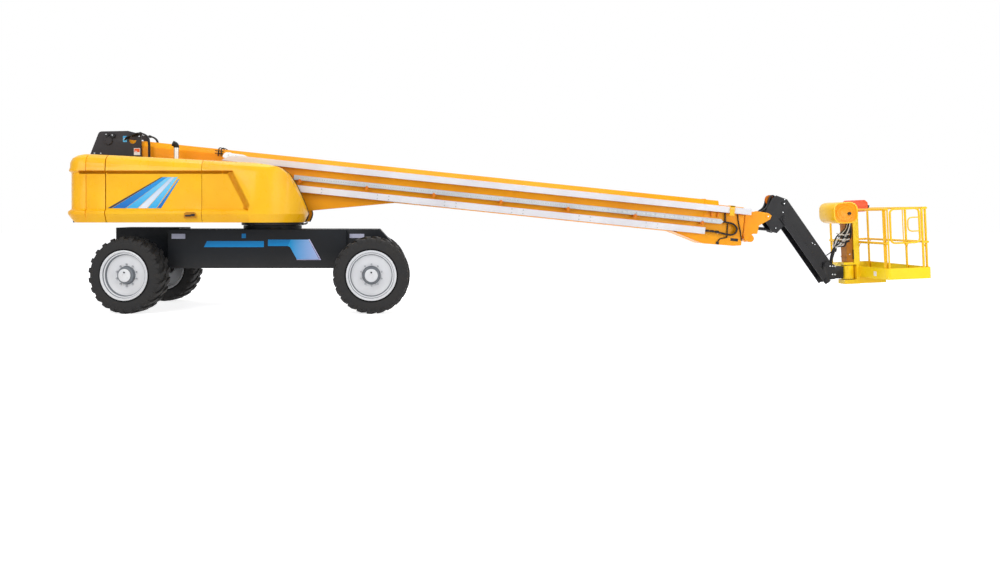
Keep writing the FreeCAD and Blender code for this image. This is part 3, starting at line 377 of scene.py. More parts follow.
# ---------------------------- door bands and latch
# Slanted vinyl bands on each engine door, dark edge then deep blue to pale, and a
# sprung black paddle latch let into the door's lower roll.
band_colours = [vinyl(name + "_door_vinyl", foot, head, "Z", 1.6, 2.0) for name, foot, head in (
    ("graphite", "#3A3D46", "#2F323A"), ("deep_blue", "#1D6FC0", "#2B9BE0"),
    ("sky_blue", "#3FB2EA", "#7CD0F4"), ("pale", "#E3ECF8", "#C3D8F2"))]
band_foot, band_head = 1.577, 2.04
door_face, band_face = 1.1905, 1.193
band_rear, band_lean, band_taper = -5.90, 0.80, 0.34
for side, tag in flanks:
    shape = bmesh.new()
    face = side * door_face
    out = side * band_face
    starts = ((band_rear, 0.055, 0), (-5.835, 0.20, 1), (-5.625, 0.17, 2), (-5.445, 0.13, 3),
              (-5.305, 0.13, 2),
              (-5.165, 0.06, 1))
    for start, wide, index in starts:
        rise = band_head if index != 1 or wide > 0.1 else band_head - 0.03
        top = band_rear + band_lean + (start - band_rear) * band_taper
        flat_patch(shape, [(start, band_foot), (start + wide, band_foot), (top + wide * band_taper, rise),
                           (top, rise)],
                   face, out, index)
    face_out(shape)
    placed(shape, "door_bands_" + tag, band_colours, 0.0, body="door_%s_body" % tag)


def bare_metal(name, colour, low, high):
    """Bare or plated metal with fine machining marks in its gloss."""
    material, tree = empty_material(name)
    place = add_node(tree, "ShaderNodeTexCoord")
    marks = noise(tree, place, 90.0, 4.0)
    rough = gloss_range(tree, marks, low, high)
    relief = add_node(tree, "ShaderNodeBump", {"Strength": 0.08, "Distance": 0.001},
                      (marks, "Fac", "Height"))
    surface = add_node(tree, "ShaderNodeBsdfPrincipled", {"Base Color": linear(colour), "Metallic": 1.0},
                       (rough, 0, "Roughness"), (relief, 0, "Normal"))
    add_node(tree, "ShaderNodeOutputMaterial", {}, (surface, 0, 0))
    return material


latch_black = enamel("black_latch_plastic", "#1C1C1F", "#151517", gloss=0.45, coat=0.0)
latch_metal = bare_metal("latch_zinc_plate", "#B9BBBD", 0.2, 0.35)
roll_face, pocket_face, paddle_face = 1.2255, 1.2365, 1.252
# the pocket round the latch is painted a darker yellow: painted shade in the recess
latch_pocket_painted_shade = enamel("painted_shade_latch_pocket", "#C9860E", "#B9790B", gloss=0.4, coat=0.0)
for side, tag in flanks:
    shape = bmesh.new()
    rounded = [(-4.755, 1.425), (-4.57, 1.425), (-4.57, 1.50), (-4.605, 1.522), (-4.72, 1.522),
               (-4.755, 1.50)]
    flat_patch(shape, rounded, side * roll_face, side * pocket_face, 0)
    paddle = [(-4.735, 1.455), (-4.66, 1.452), (-4.645, 1.462), (-4.60, 1.462), (-4.585, 1.475),
              (-4.60, 1.492),
              (-4.645, 1.49), (-4.66, 1.479), (-4.735, 1.477)]
    flat_patch(shape, paddle, side * pocket_face, side * paddle_face, 1)
    knob = bmesh.ops.create_cone(shape, cap_ends=True, segments=18, radius1=0.019, radius2=0.017, depth=0.02,
                                 matrix=Matrix.Translation((-4.612, side * paddle_face, 1.476))
                                 @ Matrix.Rotation(math.radians(90), 4, "X"))
    paint(knob["verts"], 1)
    face_out(shape)
    placed(shape, "door_latch_" + tag, (latch_pocket_painted_shade, latch_black, latch_metal), 0.003, 35,
           body="door_%s_body" % tag)

# ---------------------------- turntable
# Flame-cut deck and tower plates in dark grey enamel. The towers carry the boom's pin
# under bolted keepers, with small plain labels and hoses clipped over their tops.
def rounded_route(points, bend, steps=5):
    """Points of a line whose corners are eased into curves."""
    route = [Vector(points[0])]
    for before, here, after in zip(points, points[1:], points[2:]):
        here = Vector(here)
        inward = Vector(before) - here
        outward = Vector(after) - here
        start = here + inward.normalized() * min(bend, inward.length * 0.48)
        finish = here + outward.normalized() * min(bend, outward.length * 0.48)
        for step in range(steps + 1):
            share = step / steps
            route.append(start.lerp(here, share).lerp(here.lerp(finish, share), share))
    return route + [Vector(points[-1])]


def tube(shape, points, radius, sides=12, bend=0.0, index=0):
    """Round bar, pipe or hose along a line of points, with closed ends."""
    route = rounded_route(points, bend) if bend else [Vector(point) for point in points]
    flank = (route[1] - route[0]).orthogonal().normalized()
    rings = []
    for place, point in enumerate(route):
        ahead = (route[min(place + 1, len(route) - 1)] - route[max(place - 1, 0)]).normalized()
        flank = (flank - ahead * flank.dot(ahead)).normalized()
        other = ahead.cross(flank)
        turns = [math.tau * turn / sides for turn in range(sides)]
        rings.append([shape.verts.new(point + (flank * math.cos(turn) + other * math.sin(turn)) * radius)
                      for turn in turns])
    ends = [shape.faces.new(rings[0][::-1]), shape.faces.new(rings[-1])]
    for face in ends + quads(shape, rings, closed=True):
        face.material_index = index


def block(shape, low, high, index=0):
    """Square-cornered piece between two corners."""
    low, high = Vector(low), Vector(high)
    cube = bmesh.ops.create_cube(shape, size=1.0, matrix=Matrix.Translation((low + high) / 2)
                                 @ Matrix.Diagonal((*(high - low), 1)))
    paint(cube["verts"], index)


def bolt(shape, spot, axis, radius, height, index=0, sides=6):
    """Bolt head or round cap that stands off a face along an axis."""
    turn = Vector((0, 0, 1)).rotation_difference(Vector(axis)).to_matrix().to_4x4()
    middle = Vector(spot) + Vector(axis) * height / 2
    head = bmesh.ops.create_cone(shape, cap_ends=True, segments=sides, radius1=radius, radius2=radius * 0.92,
                                 depth=height, matrix=Matrix.Translation(middle) @ turn)
    paint(head["verts"], index)


deck_grey = enamel("dark_grey_deck_enamel", "#333134", "#2B292C", gloss=0.45, coat=0.04, shine=0.2)
dressed("turntable", "turntable_painted", deck_grey, 0.004)
black_rubber = enamel("black_hose_rubber", "#141416", "#0E0E10", gloss=0.5, coat=0.0, shine=0.3)
joint_facts = {joint["name"]: joint for joint in frame["record"]["behaviour"]["joints"]}
boom_pin = Vector(joint_facts["boom_lift"]["pos_m"])
tower_face = 0.245
shape = bmesh.new()
for side in (-1, 1):
    face = side * tower_face
    outward = (0, side, 0)
    for x, z in ((0.49, 0.07), (0.44, -0.17), (-0.22, -0.2), (-0.12, -0.2)):
        bolt(shape, boom_pin + Vector((x, face, z)), outward, 0.011, 0.008, 1)
    for x, z in ((-0.017, 0.09), (0.081, 0.079)):
        bolt(shape, boom_pin + Vector((x, face, z)), outward, 0.034, 0.035, 2, 20)
        bolt(shape, boom_pin + Vector((x - 0.01, face + side * 0.035, z + 0.008)), outward, 0.009, 0.004, 1,
             12)
    bolt(shape, boom_pin + Vector((0, side * 0.257, 0)), outward, 0.07, 0.014, 0, 24)
    for turn in range(6):
        angle = math.tau * turn / 6
        spot = boom_pin + Vector((0.05 * math.cos(angle), side * 0.271, 0.05 * math.sin(angle)))
        bolt(shape, spot, outward, 0.009, 0.008, 0)
face_out(shape)
placed(shape, "tower_pin_keepers", (deck_grey, latch_metal, black_rubber), 0.0, 35, body="turntable_body")
label_blue = vinyl("light_blue_label", "#58B7E8", "#3FA2DA", "Z", 2.63, 2.74)
label_white = vinyl("white_label", "#F4F3F0", "#E9E7E4", "Z", 2.4, 2.6)
label_orange = vinyl("orange_label", "#F2681F", "#EA5B14", "Z", 2.4, 2.6)
shape = bmesh.new()
for side in (-1, 1):
    low, high = side * (tower_face + 0.0005), side * (tower_face + 0.0025)
    top = high + side * 0.0015
    plate(shape, -5.944, -5.88, 2.638, 2.734, low, high)
    plate(shape, -5.93, -5.894, 2.668, 2.7, high, top, 1)
    plate(shape, -5.77, -5.67, 2.43, 2.54, low, high, 1)
    plate(shape, -5.762, -5.678, 2.478, 2.532, high, top, 2)
face_out(shape)
placed(shape, "tower_labels", (label_blue, label_white, label_orange), 0.0, body="turntable_body")
# black rubber trim along each hood's inner nose edge, and a grease fitting on the ring
shape = bmesh.new()
for side in (-1, 1):
    edge = [(-3.375, 2.195), (-3.275, 2.115), (-3.177, 1.968), (-3.087, 1.784), (-3.017, 1.62),
            (-2.977, 1.50),
            (-2.992, 1.43), (-3.027, 1.366)]
    tube(shape, [(x, side * 0.408, z) for x, z in edge], 0.012, 8, 0.03)
tube(shape, [(-3.10, -0.30, 1.335), (-3.03, -0.30, 1.335), (-3.0, -0.30, 1.36)], 0.012, 8, 0.01)
face_out(shape)
placed(shape, "hood_edge_trim", black_rubber, 0.0, 40, body="turntable_body")
# hoses that leave the tower's outer faces and bend down between the boom and the hoods
hose_rows = (0.262, 0.288, 0.314)
shape = bmesh.new()
for side in (-1, 1):
    for y in hose_rows:
        tube(shape, [(-5.92, side * 0.236, 2.67), (-5.86, side * y, 2.715), (-5.70, side * y, 2.775),
                     (-5.60, side * y, 2.765), (-5.53, side * y, 2.71), (-5.515, side * y, 2.60),
                     (-5.515, side * y, 2.30)], 0.0135, 10, 0.05)
    near_y, far_y = sorted((side * 0.24, side * 0.332))
    for x, z in ((-5.80, 2.737), (-5.66, 2.77)):
        block(shape, (x, near_y, z - 0.02), (x + 0.02, far_y, z + 0.02))
face_out(shape)
placed(shape, "tower_hose_trunking", black_rubber, 0.0, 40, body="turntable_body")

# ---------------------------- boom
# Three nested sections of folded plate in orange enamel. Two white rails bolted along
# the right side carry a grey nylon chain of links, and the chain holds the hoses.
# the same orange also serves as painted shade on the console's dished end
boom_orange_and_dish_shade = enamel("boom_orange_and_dish_shade_enamel", "#FFAA0A", "#FA9E06", gloss=0.34, coat=0.06, shine=0.2)
for node in ("boom_base", "boom_mid", "boom_fly"):
    dressed(node, node + "_painted", boom_orange_and_dish_shade, 0.003)

rail_white = enamel("white_rail_enamel", "#ECEBEF", "#E0DEE3", gloss=0.4, dust="#B5AFA6", dust_low=1.0,
                    dust_high=2.6)
for node in ("hose_rail_top", "hose_rail_low"):
    dressed(node, node + "_painted", rail_white, 0.003)
chain_grey = enamel("grey_nylon_chain", "#D2D5D6", "#BFC3C5", gloss=0.5, coat=0.0)
dressed("hose_chain", "hose_chain_links", chain_grey, 0.003)

boom_droop = math.radians(5.92)
boom_seat = Matrix.Translation(boom_pin) @ Matrix.Rotation(boom_droop, 4, "Y")
clip_orange = enamel("orange_rail_clip", "#E9820E", "#DD780A", gloss=0.4)
rail_face, chain_face = -0.314, -0.3
first_clip, clip_pitch = 3.07, 1.07
# bolted rail joints and the clips that hold the chain's lower edge
shape = bmesh.new()
for span in range(7):
    start = first_clip + span * clip_pitch
    block(shape, (start, rail_face + 0.01, -0.345), (start + 0.055, -0.2, -0.312), 0)
    block(shape, (start + 0.012, rail_face - 0.004, -0.36), (start + 0.043, rail_face + 0.02, -0.298), 0)
    for shift in (-0.09, 0.09):
        if start + shift > 3.0 and span < 6:
            for level in (-0.42, -0.475):
                bolt(shape, (start + shift + 0.3, rail_face, level), (0, -1, 0), 0.011, 0.008, 1)
face_out(shape, boom_seat)
placed(shape, "chain_clips_and_bolts", (clip_orange, latch_metal), 0.002, 35, body="boom_base_body")
# chain links: staggered side plates with their pins
shape = bmesh.new()
chain_start, chain_run, pitch = 3.06, 6.7, 0.075
for link in range(int(chain_run / pitch)):
    start = chain_start + link * pitch
    depth = 0.004 if link % 2 else 0.008
    block(shape, (start + 0.004, chain_face - depth, -0.307), (start + pitch - 0.004, -0.299, -0.247), 0)
    for shift in (-0.016, 0.016):
        bolt(shape, (start + pitch / 2 + shift, chain_face - depth, -0.277), (0, -1, 0), 0.008, 0.004, 1, 8)
face_out(shape, boom_seat)
placed(shape, "chain_link_plates", (chain_grey, latch_metal), 0.0, 35, body="boom_base_body")
# guide at the top rail's tail, two clips, and the yellow clamp at its head
rail_alloy = bare_metal("rolled_alloy_guide", "#C9CBCC", 0.25, 0.4)
shape = bmesh.new()
tail = [(1.84, -0.07), (1.855, -0.02), (1.89, 0.004), (1.95, 0.012), (1.99, 0.0), (2.17, -0.005),
        (2.24, -0.03),
        (2.24, -0.09), (1.88, -0.09)]
flat_patch(shape, tail, -0.3, -0.225, 0)
for along in (1.93, 2.05):
    bolt(shape, (along, -0.3, -0.03), (0, -1, 0), 0.01, 0.008, 1)
block(shape, (9.925, rail_face - 0.02, -0.172), (10.0, rail_face + 0.002, -0.01), 2)
block(shape, (9.925, rail_face - 0.02, -0.03), (10.0, -0.2, -0.008), 2)
for along in (9.945, 9.98):
    bolt(shape, (along, rail_face - 0.02, -0.06), (0, -1, 0), 0.008, 0.007, 1)
for along in (9.66, 9.76):
    block(shape, (along, -0.25, -0.21), (along + 0.02, -0.214, -0.128), 3)
face_out(shape, boom_seat)
placed(shape, "top_rail_guides", (rail_alloy, latch_metal, yellow, clip_orange), 0.003, 35,
       body="boom_mid_body")
# black clamp over the boom behind the rails, with two short leads
shape = bmesh.new()
for along in (1.755, 1.80):
    for y in (-0.222, -0.204):
        tube(shape, [(along, y, -0.06), (along, y, 0.062), (along + 0.02, y + 0.03, 0.075),
                     (along + 0.02, -y - 0.03, 0.075), (along, -y, 0.062), (along, -y, -0.06)], 0.007, 8,
                     0.015)
for level in (-0.02, 0.02):
    tube(shape, [(1.70, -0.222, level), (1.83, -0.222, level)], 0.006, 8)
face_out(shape, boom_seat)
placed(shape, "boom_hose_clamp", black_rubber, 0.0, 40, body="boom_base_body")
# hoses at the boom's head: loop from the chain back into the low rail, and three leads
shape = bmesh.new()
loop_rows = (-0.236, -0.262, -0.288)
for y in loop_rows:
    ease = (y - loop_rows[0]) * 0.5
    loop = [(9.85, y, -0.277), (9.93, y, -0.281), (10.035 + ease, y, -0.2895), (10.095 + ease, y, -0.34),
            (10.102 + ease, y, -0.40), (10.07 + ease, y, -0.455), (9.995, y, -0.4767), (9.894, y, -0.464),
            (9.75, y, -0.447), (9.56, y, -0.4415)]
    tube(shape, loop, 0.0125, 12, 0.06)
tube(shape, [(9.879, -0.24, -0.13), (9.89, -0.24, -0.2), (9.8965, -0.24, -0.29)], 0.012, 12, 0.02)
tube(shape, [(9.945, -0.225, -0.30), (9.947, -0.225, -0.3986), (9.959, -0.225, -0.5176),
             (9.842, -0.225, -0.5498),
             (9.817, -0.225, -0.6121)], 0.009, 10, 0.03)
tube(shape, [(10.085, -0.226, -0.1124), (10.11, -0.226, -0.25), (10.165, -0.226, -0.4158),
             (10.192, -0.226, -0.5441)], 0.009, 10, 0.05)
for y in loop_rows:
    for along in (9.60, 9.68, 9.76):
        tube(shape, [(along, y, -0.443), (along + 0.035, y, -0.444)], 0.018, 6, index=2)
tube(shape, [(9.80, -0.23, -0.47), (9.80, -0.23, -0.44)], 0.02, 8, index=1)
flat_patch(shape, [(10.02, -0.565), (10.14, -0.565), (10.14, -0.52), (10.02, -0.52)], -0.2165, -0.2145, 2)
block(shape, (9.795, -0.235, -0.64), (9.835, -0.214, -0.60), 2)
face_out(shape, boom_seat)
placed(shape, "head_hose_loop", (black_rubber, latch_metal, latch_black), 0.0, 40, body="boom_base_body")
# pin caps of the fly section's end plates
shape = bmesh.new()
level_pin = Vector(joint_facts["jib_levelling"]["pos_m"])
for side in (-1, 1):
    bolt(shape, level_pin + Vector((0, side * 0.154, 0)), (0, side, 0), 0.035, 0.01, 0, 20)
    bolt(shape, level_pin + Vector((0, side * 0.164, 0)), (0, side, 0), 0.012, 0.008, 1)
face_out(shape)
placed(shape, "fly_pin_caps", (boom_orange_and_dish_shade, latch_metal), 0.0, 35, body="boom_fly_body")

# ---------------------------- jib
# Black knuckle, jib box and levelling bars. Pins are held by bolted caps; the hoses bend
# over a guide on the knuckle and run down between the jib and its bars.
# basket yellow is brightened as painted light and rail amber deepened as painted shade, for one yellow paint
basket = enamel("bright_yellow_basket_painted_light_enamel", "#FFE01E", "#FFD61A", gloss=0.3, coat=0.1, shine=0.25)
rail_amber_painted_shade = enamel("amber_rail_painted_shade_enamel", "#FFCC1E", "#FFC31A", gloss=0.3, coat=0.1, shine=0.25)
jib_black = enamel("dark_jib_enamel", "#121216", "#0D0D10", gloss=0.42, coat=0.03, shine=0.25)
for node in ("jib_knuckle", "jib_arm", "jib_link", "platform_support", "level_rod"):
    dressed(node, node + "_painted", jib_black, 0.003)
jib_pin = Vector(joint_facts["jib_lift"]["pos_m"])
jib_end = Vector(joint_facts["platform_levelling"]["pos_m"])
jib_angle = math.radians(55.2)
jib_seat = Matrix.Translation(jib_pin) @ Matrix.Rotation(jib_angle, 4, "Y")
plate_face = 0.104
shape = bmesh.new()
for side in (-1, 1):
    face, outward = side * plate_face, (0, side, 0)
    for x, z in ((0.012, 0.066), (-0.018, -0.14), (-0.133, -0.394)):
        bolt(shape, jib_pin + Vector((x, face, z)), outward, 0.009, 0.008, 1)
    bolt(shape, jib_pin + Vector((0, face, 0)), outward, 0.036, 0.012, 0, 20)
    bolt(shape, jib_pin + Vector((0, face + side * 0.012, 0)), outward, 0.011, 0.008, 1)
    bolt(shape, jib_pin + Vector((0, side * 0.128, -0.256)), outward, 0.034, 0.008, 0, 20)
guide = jib_pin + Vector((-0.185, 0, 0.062))
bolt(shape, guide + Vector((0, -0.085, 0)), (0, 1, 0), 0.02, 0.17, 0, 16)
for y in (-0.022, 0.022):
    bolt(shape, guide + Vector((0, y - 0.006, 0)), (0, 1, 0), 0.076, 0.012, 2, 32)
bolt(shape, guide + Vector((0, -0.02, 0)), (0, 1, 0), 0.055, 0.04, 2, 32)
route = [(4.26, 1.50), (4.305, 1.545), (4.372, 1.588), (4.402, 1.66), (4.412, 1.73), (4.446, 1.788),
         (4.49, 1.79), (4.505, 1.742)]
for y in (-0.074, -0.05, 0.05, 0.074):
    tube(shape, [(x, y, z) for x, z in route], 0.0115, 12, 0.05, 3)
face_out(shape)
placed(shape, "knuckle_pins_and_hoses", (jib_black, latch_metal, clip_orange, black_rubber), 0.0, 40,
       body="jib_knuckle_body")
# jib box: bolts, pin ends, and the hoses under it with their clips
shape = bmesh.new()
for side in (-1, 1):
    face = side * 0.08
    for along in (0.79, 0.83):
        bolt(shape, (along, face, 0.02 + (along - 0.79) * 0.5), (0, side, 0), 0.009, 0.008, 1)
    bolt(shape, (1.186, face, 0), (0, side, 0), 0.03, 0.005, 0, 20)
for y in (-0.055, -0.03, 0.03, 0.055):
    sag = 0.006 * (1 if y < 0 else -1)
    tube(shape, [(0.24, y, -0.082), (0.32, y, -0.108 - sag), (0.58, y, -0.112 + sag),
                 (0.96, y, -0.108 - sag),
                 (1.05, y, -0.098)], 0.011, 10, 0.06, 2)
for along in (0.38, 0.60, 0.84):
    block(shape, (along, -0.075, -0.128), (along + 0.03, 0.075, -0.086), 1)
face_out(shape, jib_seat)
placed(shape, "jib_hoses_and_clips", (jib_black, latch_metal, black_rubber), 0.0, 40, body="jib_arm_body")
# bracket bolts, the actuator's bolted sleeve and the hose riser at the jib's end
shape = bmesh.new()
for side in (-1, 1):
    for x, z in ((0.10, -0.034), (0.138, -0.034), (0.10, -0.165), (0.138, -0.165), (0.062, -0.03)):
        bolt(shape, jib_end + Vector((x, side * plate_face, z)), (0, side, 0), 0.012, 0.012, 1)
    bolt(shape, jib_end + Vector((0, side * plate_face, 0)), (0, side, 0), 0.034, 0.012, 0, 20)
    bolt(shape, jib_end + Vector((0, side * 0.128, -0.256)), (0, side, 0), 0.032, 0.008, 0, 20)
platform_tilt = math.radians(-2.5)
platform_seat = (Matrix.Translation(jib_end) @ Matrix.Rotation(platform_tilt, 4, "Y")
                 @ Matrix.Translation(-jib_end))
drum_foot, drum_top = [platform_seat @ Vector((5.7, 0, height)) for height in (0.432, 0.648)]
tube(shape, [drum_foot, drum_top], 0.0955, 40, index=3)
for level in (0.47, 0.54, 0.61):
    for turn in (-2.2, -1.9, -1.2, -0.9):
        spot = Vector((5.7 + 0.095 * math.cos(turn), 0.095 * math.sin(turn), level))
        bolt(shape, platform_seat @ spot, (math.cos(turn), math.sin(turn), 0), 0.008, 0.008, 3)
tube(shape, [(5.425, -0.05, 0.68), (5.43, -0.05, 0.76), (5.46, -0.05, 0.86), (5.475, -0.05, 0.92)], 0.0165,
     14,
     0.03, 2)
tube(shape, [(5.325, -0.1, 0.829), (5.462, -0.055, 0.91)], 0.009, 10, index=2)
tube(shape, [(5.468, -0.053, 0.885), (5.482, -0.055, 0.945)], 0.031, 16, index=2)
tube(shape, [(5.44, 0.02, 0.68), (5.445, 0.02, 0.78), (5.48, 0.02, 0.92)], 0.0125, 12, 0.03, 2)
face_out(shape)
placed(shape, "support_bolts_and_drum", (jib_black, latch_metal, black_rubber, basket), 0.0, 40,
       body="support_body")

# ---------------------------- platform
# Welded basket in yellow enamel, level on the rotary actuator: round bent rails and posts
# in a deeper amber than the pressed floor, small gussets, yoke and mast, and a hinged gate.
# The amber is painted shade and the floor's brighter yellow is painted light, on one yellow.
rear, wide, half = 5.847, 0.68, 0.925
floor_level, rail_top, rail_mid = 0.465, 1.555, 1.018
inset, rail_radius, post_radius = 0.022, 0.019, 0.017
left, right, side = rear + inset, rear + wide - inset, half - inset
hinge_x, latch_x = left + 0.062, right - 0.132
top_line = rail_top - rail_radius
post_foot = floor_level + 0.026
shape = bmesh.new()
for height in (top_line, rail_mid):
    tube(shape, [(hinge_x - 0.04, -side, height), (left, -side, height), (left, side, height),
                 (right, side, height), (right, -side, height), (latch_x + 0.04, -side, height)],
         rail_radius, 16, 0.075 if height == top_line else 0.04)
posts = [(left, -side + 0.07), (latch_x + 0.04, -side), (right, -side + 0.07), (left, -0.05),
         (left, side - 0.07), (right, -0.33 * side), (right, 0.33 * side), (right, side - 0.07),
         ((left + right) / 2, side)]
for x, y in posts:
    tube(shape, [(x, y, post_foot), (x, y, top_line)], post_radius, 14)
tube(shape, [(hinge_x - 0.04, -side, post_foot), (hinge_x - 0.04, -side, top_line)], post_radius - 0.005, 14)
for x, y in posts[2:]:
    along = Vector((0, 1, 0)) if x in (left, right) else Vector((1, 0, 0))
    for sign in (-1, 1):
        foot = Vector((x, y, rail_mid - 0.115))
        tip = Vector((x, y, rail_mid - 0.012)) + along * sign * 0.075
        if abs(tip.y) < side:
            tube(shape, [foot, tip], 0.006, 8)
for x, y in posts:
    block(shape, (x - 0.016, y - 0.016, post_foot), (x + 0.016, y + 0.016, post_foot + 0.02))
bmesh.ops.transform(shape, matrix=platform_seat, verts=shape.verts)
placed(shape, "platform_rails_round", rail_amber_painted_shade, 0.0, 35, replaces=("platform_rails",),
       slot_of="platform_rails")

# swing gate: one bent loop with an upright, a bent handle and two hinge barrels
shape = bmesh.new()
gate_low, gate_high = rail_mid, top_line
middle = (hinge_x + latch_x) / 2
tube(shape, [(middle, -side, gate_low), (latch_x, -side, gate_low), (latch_x, -side, gate_high),
             (hinge_x, -side, gate_high), (hinge_x, -side, gate_low), (middle - 0.001, -side, gate_low)],
     0.015, 14, 0.075)
high_z = floor_level + 0.935
tube(shape, [(latch_x, -side, high_z), (latch_x - 0.175, -side, high_z),
             (latch_x - 0.175, -side, high_z - 0.21),
             (latch_x, -side, high_z - 0.21)], 0.01, 12, 0.07)
tube(shape, [(middle - 0.03, -side, gate_low), (middle - 0.03, -side, gate_high)], 0.008, 10)
for height in (gate_low + 0.08, gate_high - 0.1):
    tube(shape, [(hinge_x, -side, height - 0.025), (hinge_x, -side, height + 0.025)], 0.0155, 14)
bmesh.ops.transform(shape, matrix=platform_seat, verts=shape.verts)
placed(shape, "gate_bent_tube", rail_amber_painted_shade, 0.0, 35, replaces=("gate",), slot_of="gate")

# pressed floor with its toe boards; raised lozenges of the tread plate under foot
dressed("platform_floor", "platform_floor_painted", basket, 0.002)
tread_grey = bare_metal("aluminium_tread_plate", "#B4B5B2", 0.3, 0.45)
shape = bmesh.new()
block(shape, (rear + 0.012, -half + 0.012, post_foot), (rear + wide - 0.012, half - 0.012,
                                                        post_foot + 0.003))
spacing, border = 0.045, 0.04
lozenge = Matrix.Diagonal((0.026, 0.008, 0.0025, 1))
for row in range(int((wide - 0.06) / spacing)):
    for column in range(int((2 * half - 0.06) / spacing)):
        x = rear + border + row * spacing
        y = -half + border + column * spacing
        lean = math.radians(45 if (row + column) % 2 else -45)
        turn = Matrix.Translation((x, y, post_foot + 0.0035)) @ Matrix.Rotation(lean, 4, "Z")
        bmesh.ops.create_cube(shape, size=1.0, matrix=turn @ lozenge)
bmesh.ops.transform(shape, matrix=platform_seat, verts=shape.verts)
placed(shape, "platform_tread_plate", tread_grey, 0.0, 35, body="platform_body")
shape = bmesh.new()
block(shape, (rear - 0.0022, -0.61, 0.505), (rear - 0.0004, -0.53, 0.575))
bmesh.ops.transform(shape, matrix=platform_seat, verts=shape.verts)
placed(shape, "toe_board_label", label_white, 0.0, body="platform_body")

# the mount under and behind the floor, and the mast's column with its bands and bolts
dressed("platform_mount", "platform_mount_painted", basket, 0.003)
# the mast's column is painted a dark orange: painted shade behind the console
mast_painted_shade_orange = enamel("painted_shade_mast_orange", "#C98222", "#AC6A18", gloss=0.45, coat=0.0, shine=0.2)
hose_grey = enamel("braided_hose_grey", "#E3E1DC", "#CFCCC6", gloss=0.5, coat=0.0)
shape = bmesh.new()
block(shape, (5.66, -0.095, 0.702), (5.80, 0.095, 1.372), 0)
for level in (0.78, 1.02, 1.30):
    block(shape, (5.65, -0.1, level), (5.81, 0.1, level + 0.016), 0)
    for x in (5.70, 5.77):
        bolt(shape, (x, -0.1, level + 0.05), (0, -1, 0), 0.011, 0.009, 2)
block(shape, (5.75, -0.118, 0.75), (5.792, -0.096, 0.90), 1)
face_out(shape, platform_seat)
placed(shape, "platform_mast_column", (mast_painted_shade_orange, black_rubber, latch_metal), 0.003, 35,
       body="platform_body")
# bundle of braided and plain hoses that gathers down the mast's side to the riser
shape = bmesh.new()
for strand in range(9):
    spread = strand / 8
    y = -0.125 - 0.022 * (strand % 3)
    top = Vector((5.66 + 0.05 * spread, y, 1.33))
    foot = Vector((5.478 + 0.006 * (spread - 0.5), -0.05 - 0.005 * (strand % 3), 0.925))
    bulge = Vector((5.475 + 0.115 * spread, y - 0.01, 1.12 - 0.02 * strand))
    low = Vector((5.455 + 0.11 * spread, y * 0.8, 1.01 - 0.006 * strand))
    tube(shape, [top, top + Vector((-0.02, 0, -0.09)), bulge, low, foot + Vector((0.004, 0, 0.03)), foot],
         0.0105, 10, 0.06, 1 if strand % 2 else 0)
for strand in range(4):
    level = 1.02 + strand * 0.04
    tube(shape, [(5.49, -0.13, level + 0.03), (5.49, -0.19, level + 0.03), (5.575, -0.198, level),
                 (5.675, -0.19, level + 0.02), (5.675, -0.094, level + 0.02)], 0.0085, 10, 0.04, strand % 2)
tube(shape, [(5.70, -0.135, 1.34), (5.715, -0.15, 1.22), (5.70, -0.15, 1.10), (5.70, -0.09, 1.06)], 0.014,
     12,
     0.05, 0)
face_out(shape, platform_seat)
placed(shape, "mast_hose_bundle", (black_rubber, hose_grey), 0.0, 40, body="platform_body")

# moulded console: a barrel with its axis across the machine, dished at its right end
shape = bmesh.new()
low_x, high_x, low_z, high_z = 5.306, 5.69, 1.335, 1.672
middle_x, middle_z = (low_x + high_x) / 2, (low_z + high_z) / 2
half_x, half_z = (high_x - low_x) / 2, (high_z - low_z) / 2
barrel_steps = 48
squareness = 0.62


def barrel_ring(y, scale):
    """Ring of the console's rounded-square section at one place across."""
    ring = []
    for step in range(barrel_steps):
        angle = math.tau * step / barrel_steps
        c, d = math.cos(angle), math.sin(angle)
        x = half_x * math.copysign(abs(c) ** squareness, c) * scale
        z = half_z * math.copysign(abs(d) ** squareness, d) * scale
        ring.append(shape.verts.new((middle_x + x, y, middle_z + z)))
    return ring


stations = [(-0.445, 0.90), (-0.445, 0.985), (-0.438, 1.0), (0.038, 1.0), (0.045, 0.985), (0.045, 0.0)]
dish = [(-0.445, 0.90), (-0.425, 0.885), (-0.418, 0.80), (-0.418, 0.0)]
rings = [barrel_ring(y, max(scale, 0.02)) for y, scale in dish[::-1] + stations]
quads(shape, rings, closed=True)
shape.faces.new(rings[0])
shape.faces.new(rings[-1][::-1])
bmesh.ops.remove_doubles(shape, verts=shape.verts, dist=0.0001)
# the dish's faces and its two rings take the boom's orange: painted shade on the console's end
for face in shape.faces:
    if -0.43 < face.calc_center_median().y < -0.4:
        face.material_index = 1
for y in (-0.11, 0.0):
    block(shape, (5.64, y, 1.5), (5.85, y + 0.04, 1.53), 0)
bolt(shape, (5.56, -0.418, 1.49), (0, -1, 0), 0.026, 0.02, 2, 20)
for scale in (0.45, 0.7):
    wave = [math.tau * step / 24 for step in range(25)]
    tube(shape, [(middle_x + half_x * scale * math.cos(turn), -0.418,
                  middle_z + half_z * scale * math.sin(turn))
                 for turn in wave], 0.006, 8, index=1)
face_out(shape, platform_seat)
placed(shape, "console_barrel", (rail_amber_painted_shade, boom_orange_and_dish_shade, latch_black), 0.0, 38,
       replaces=("console_housing",),
       slot_of="console_housing")

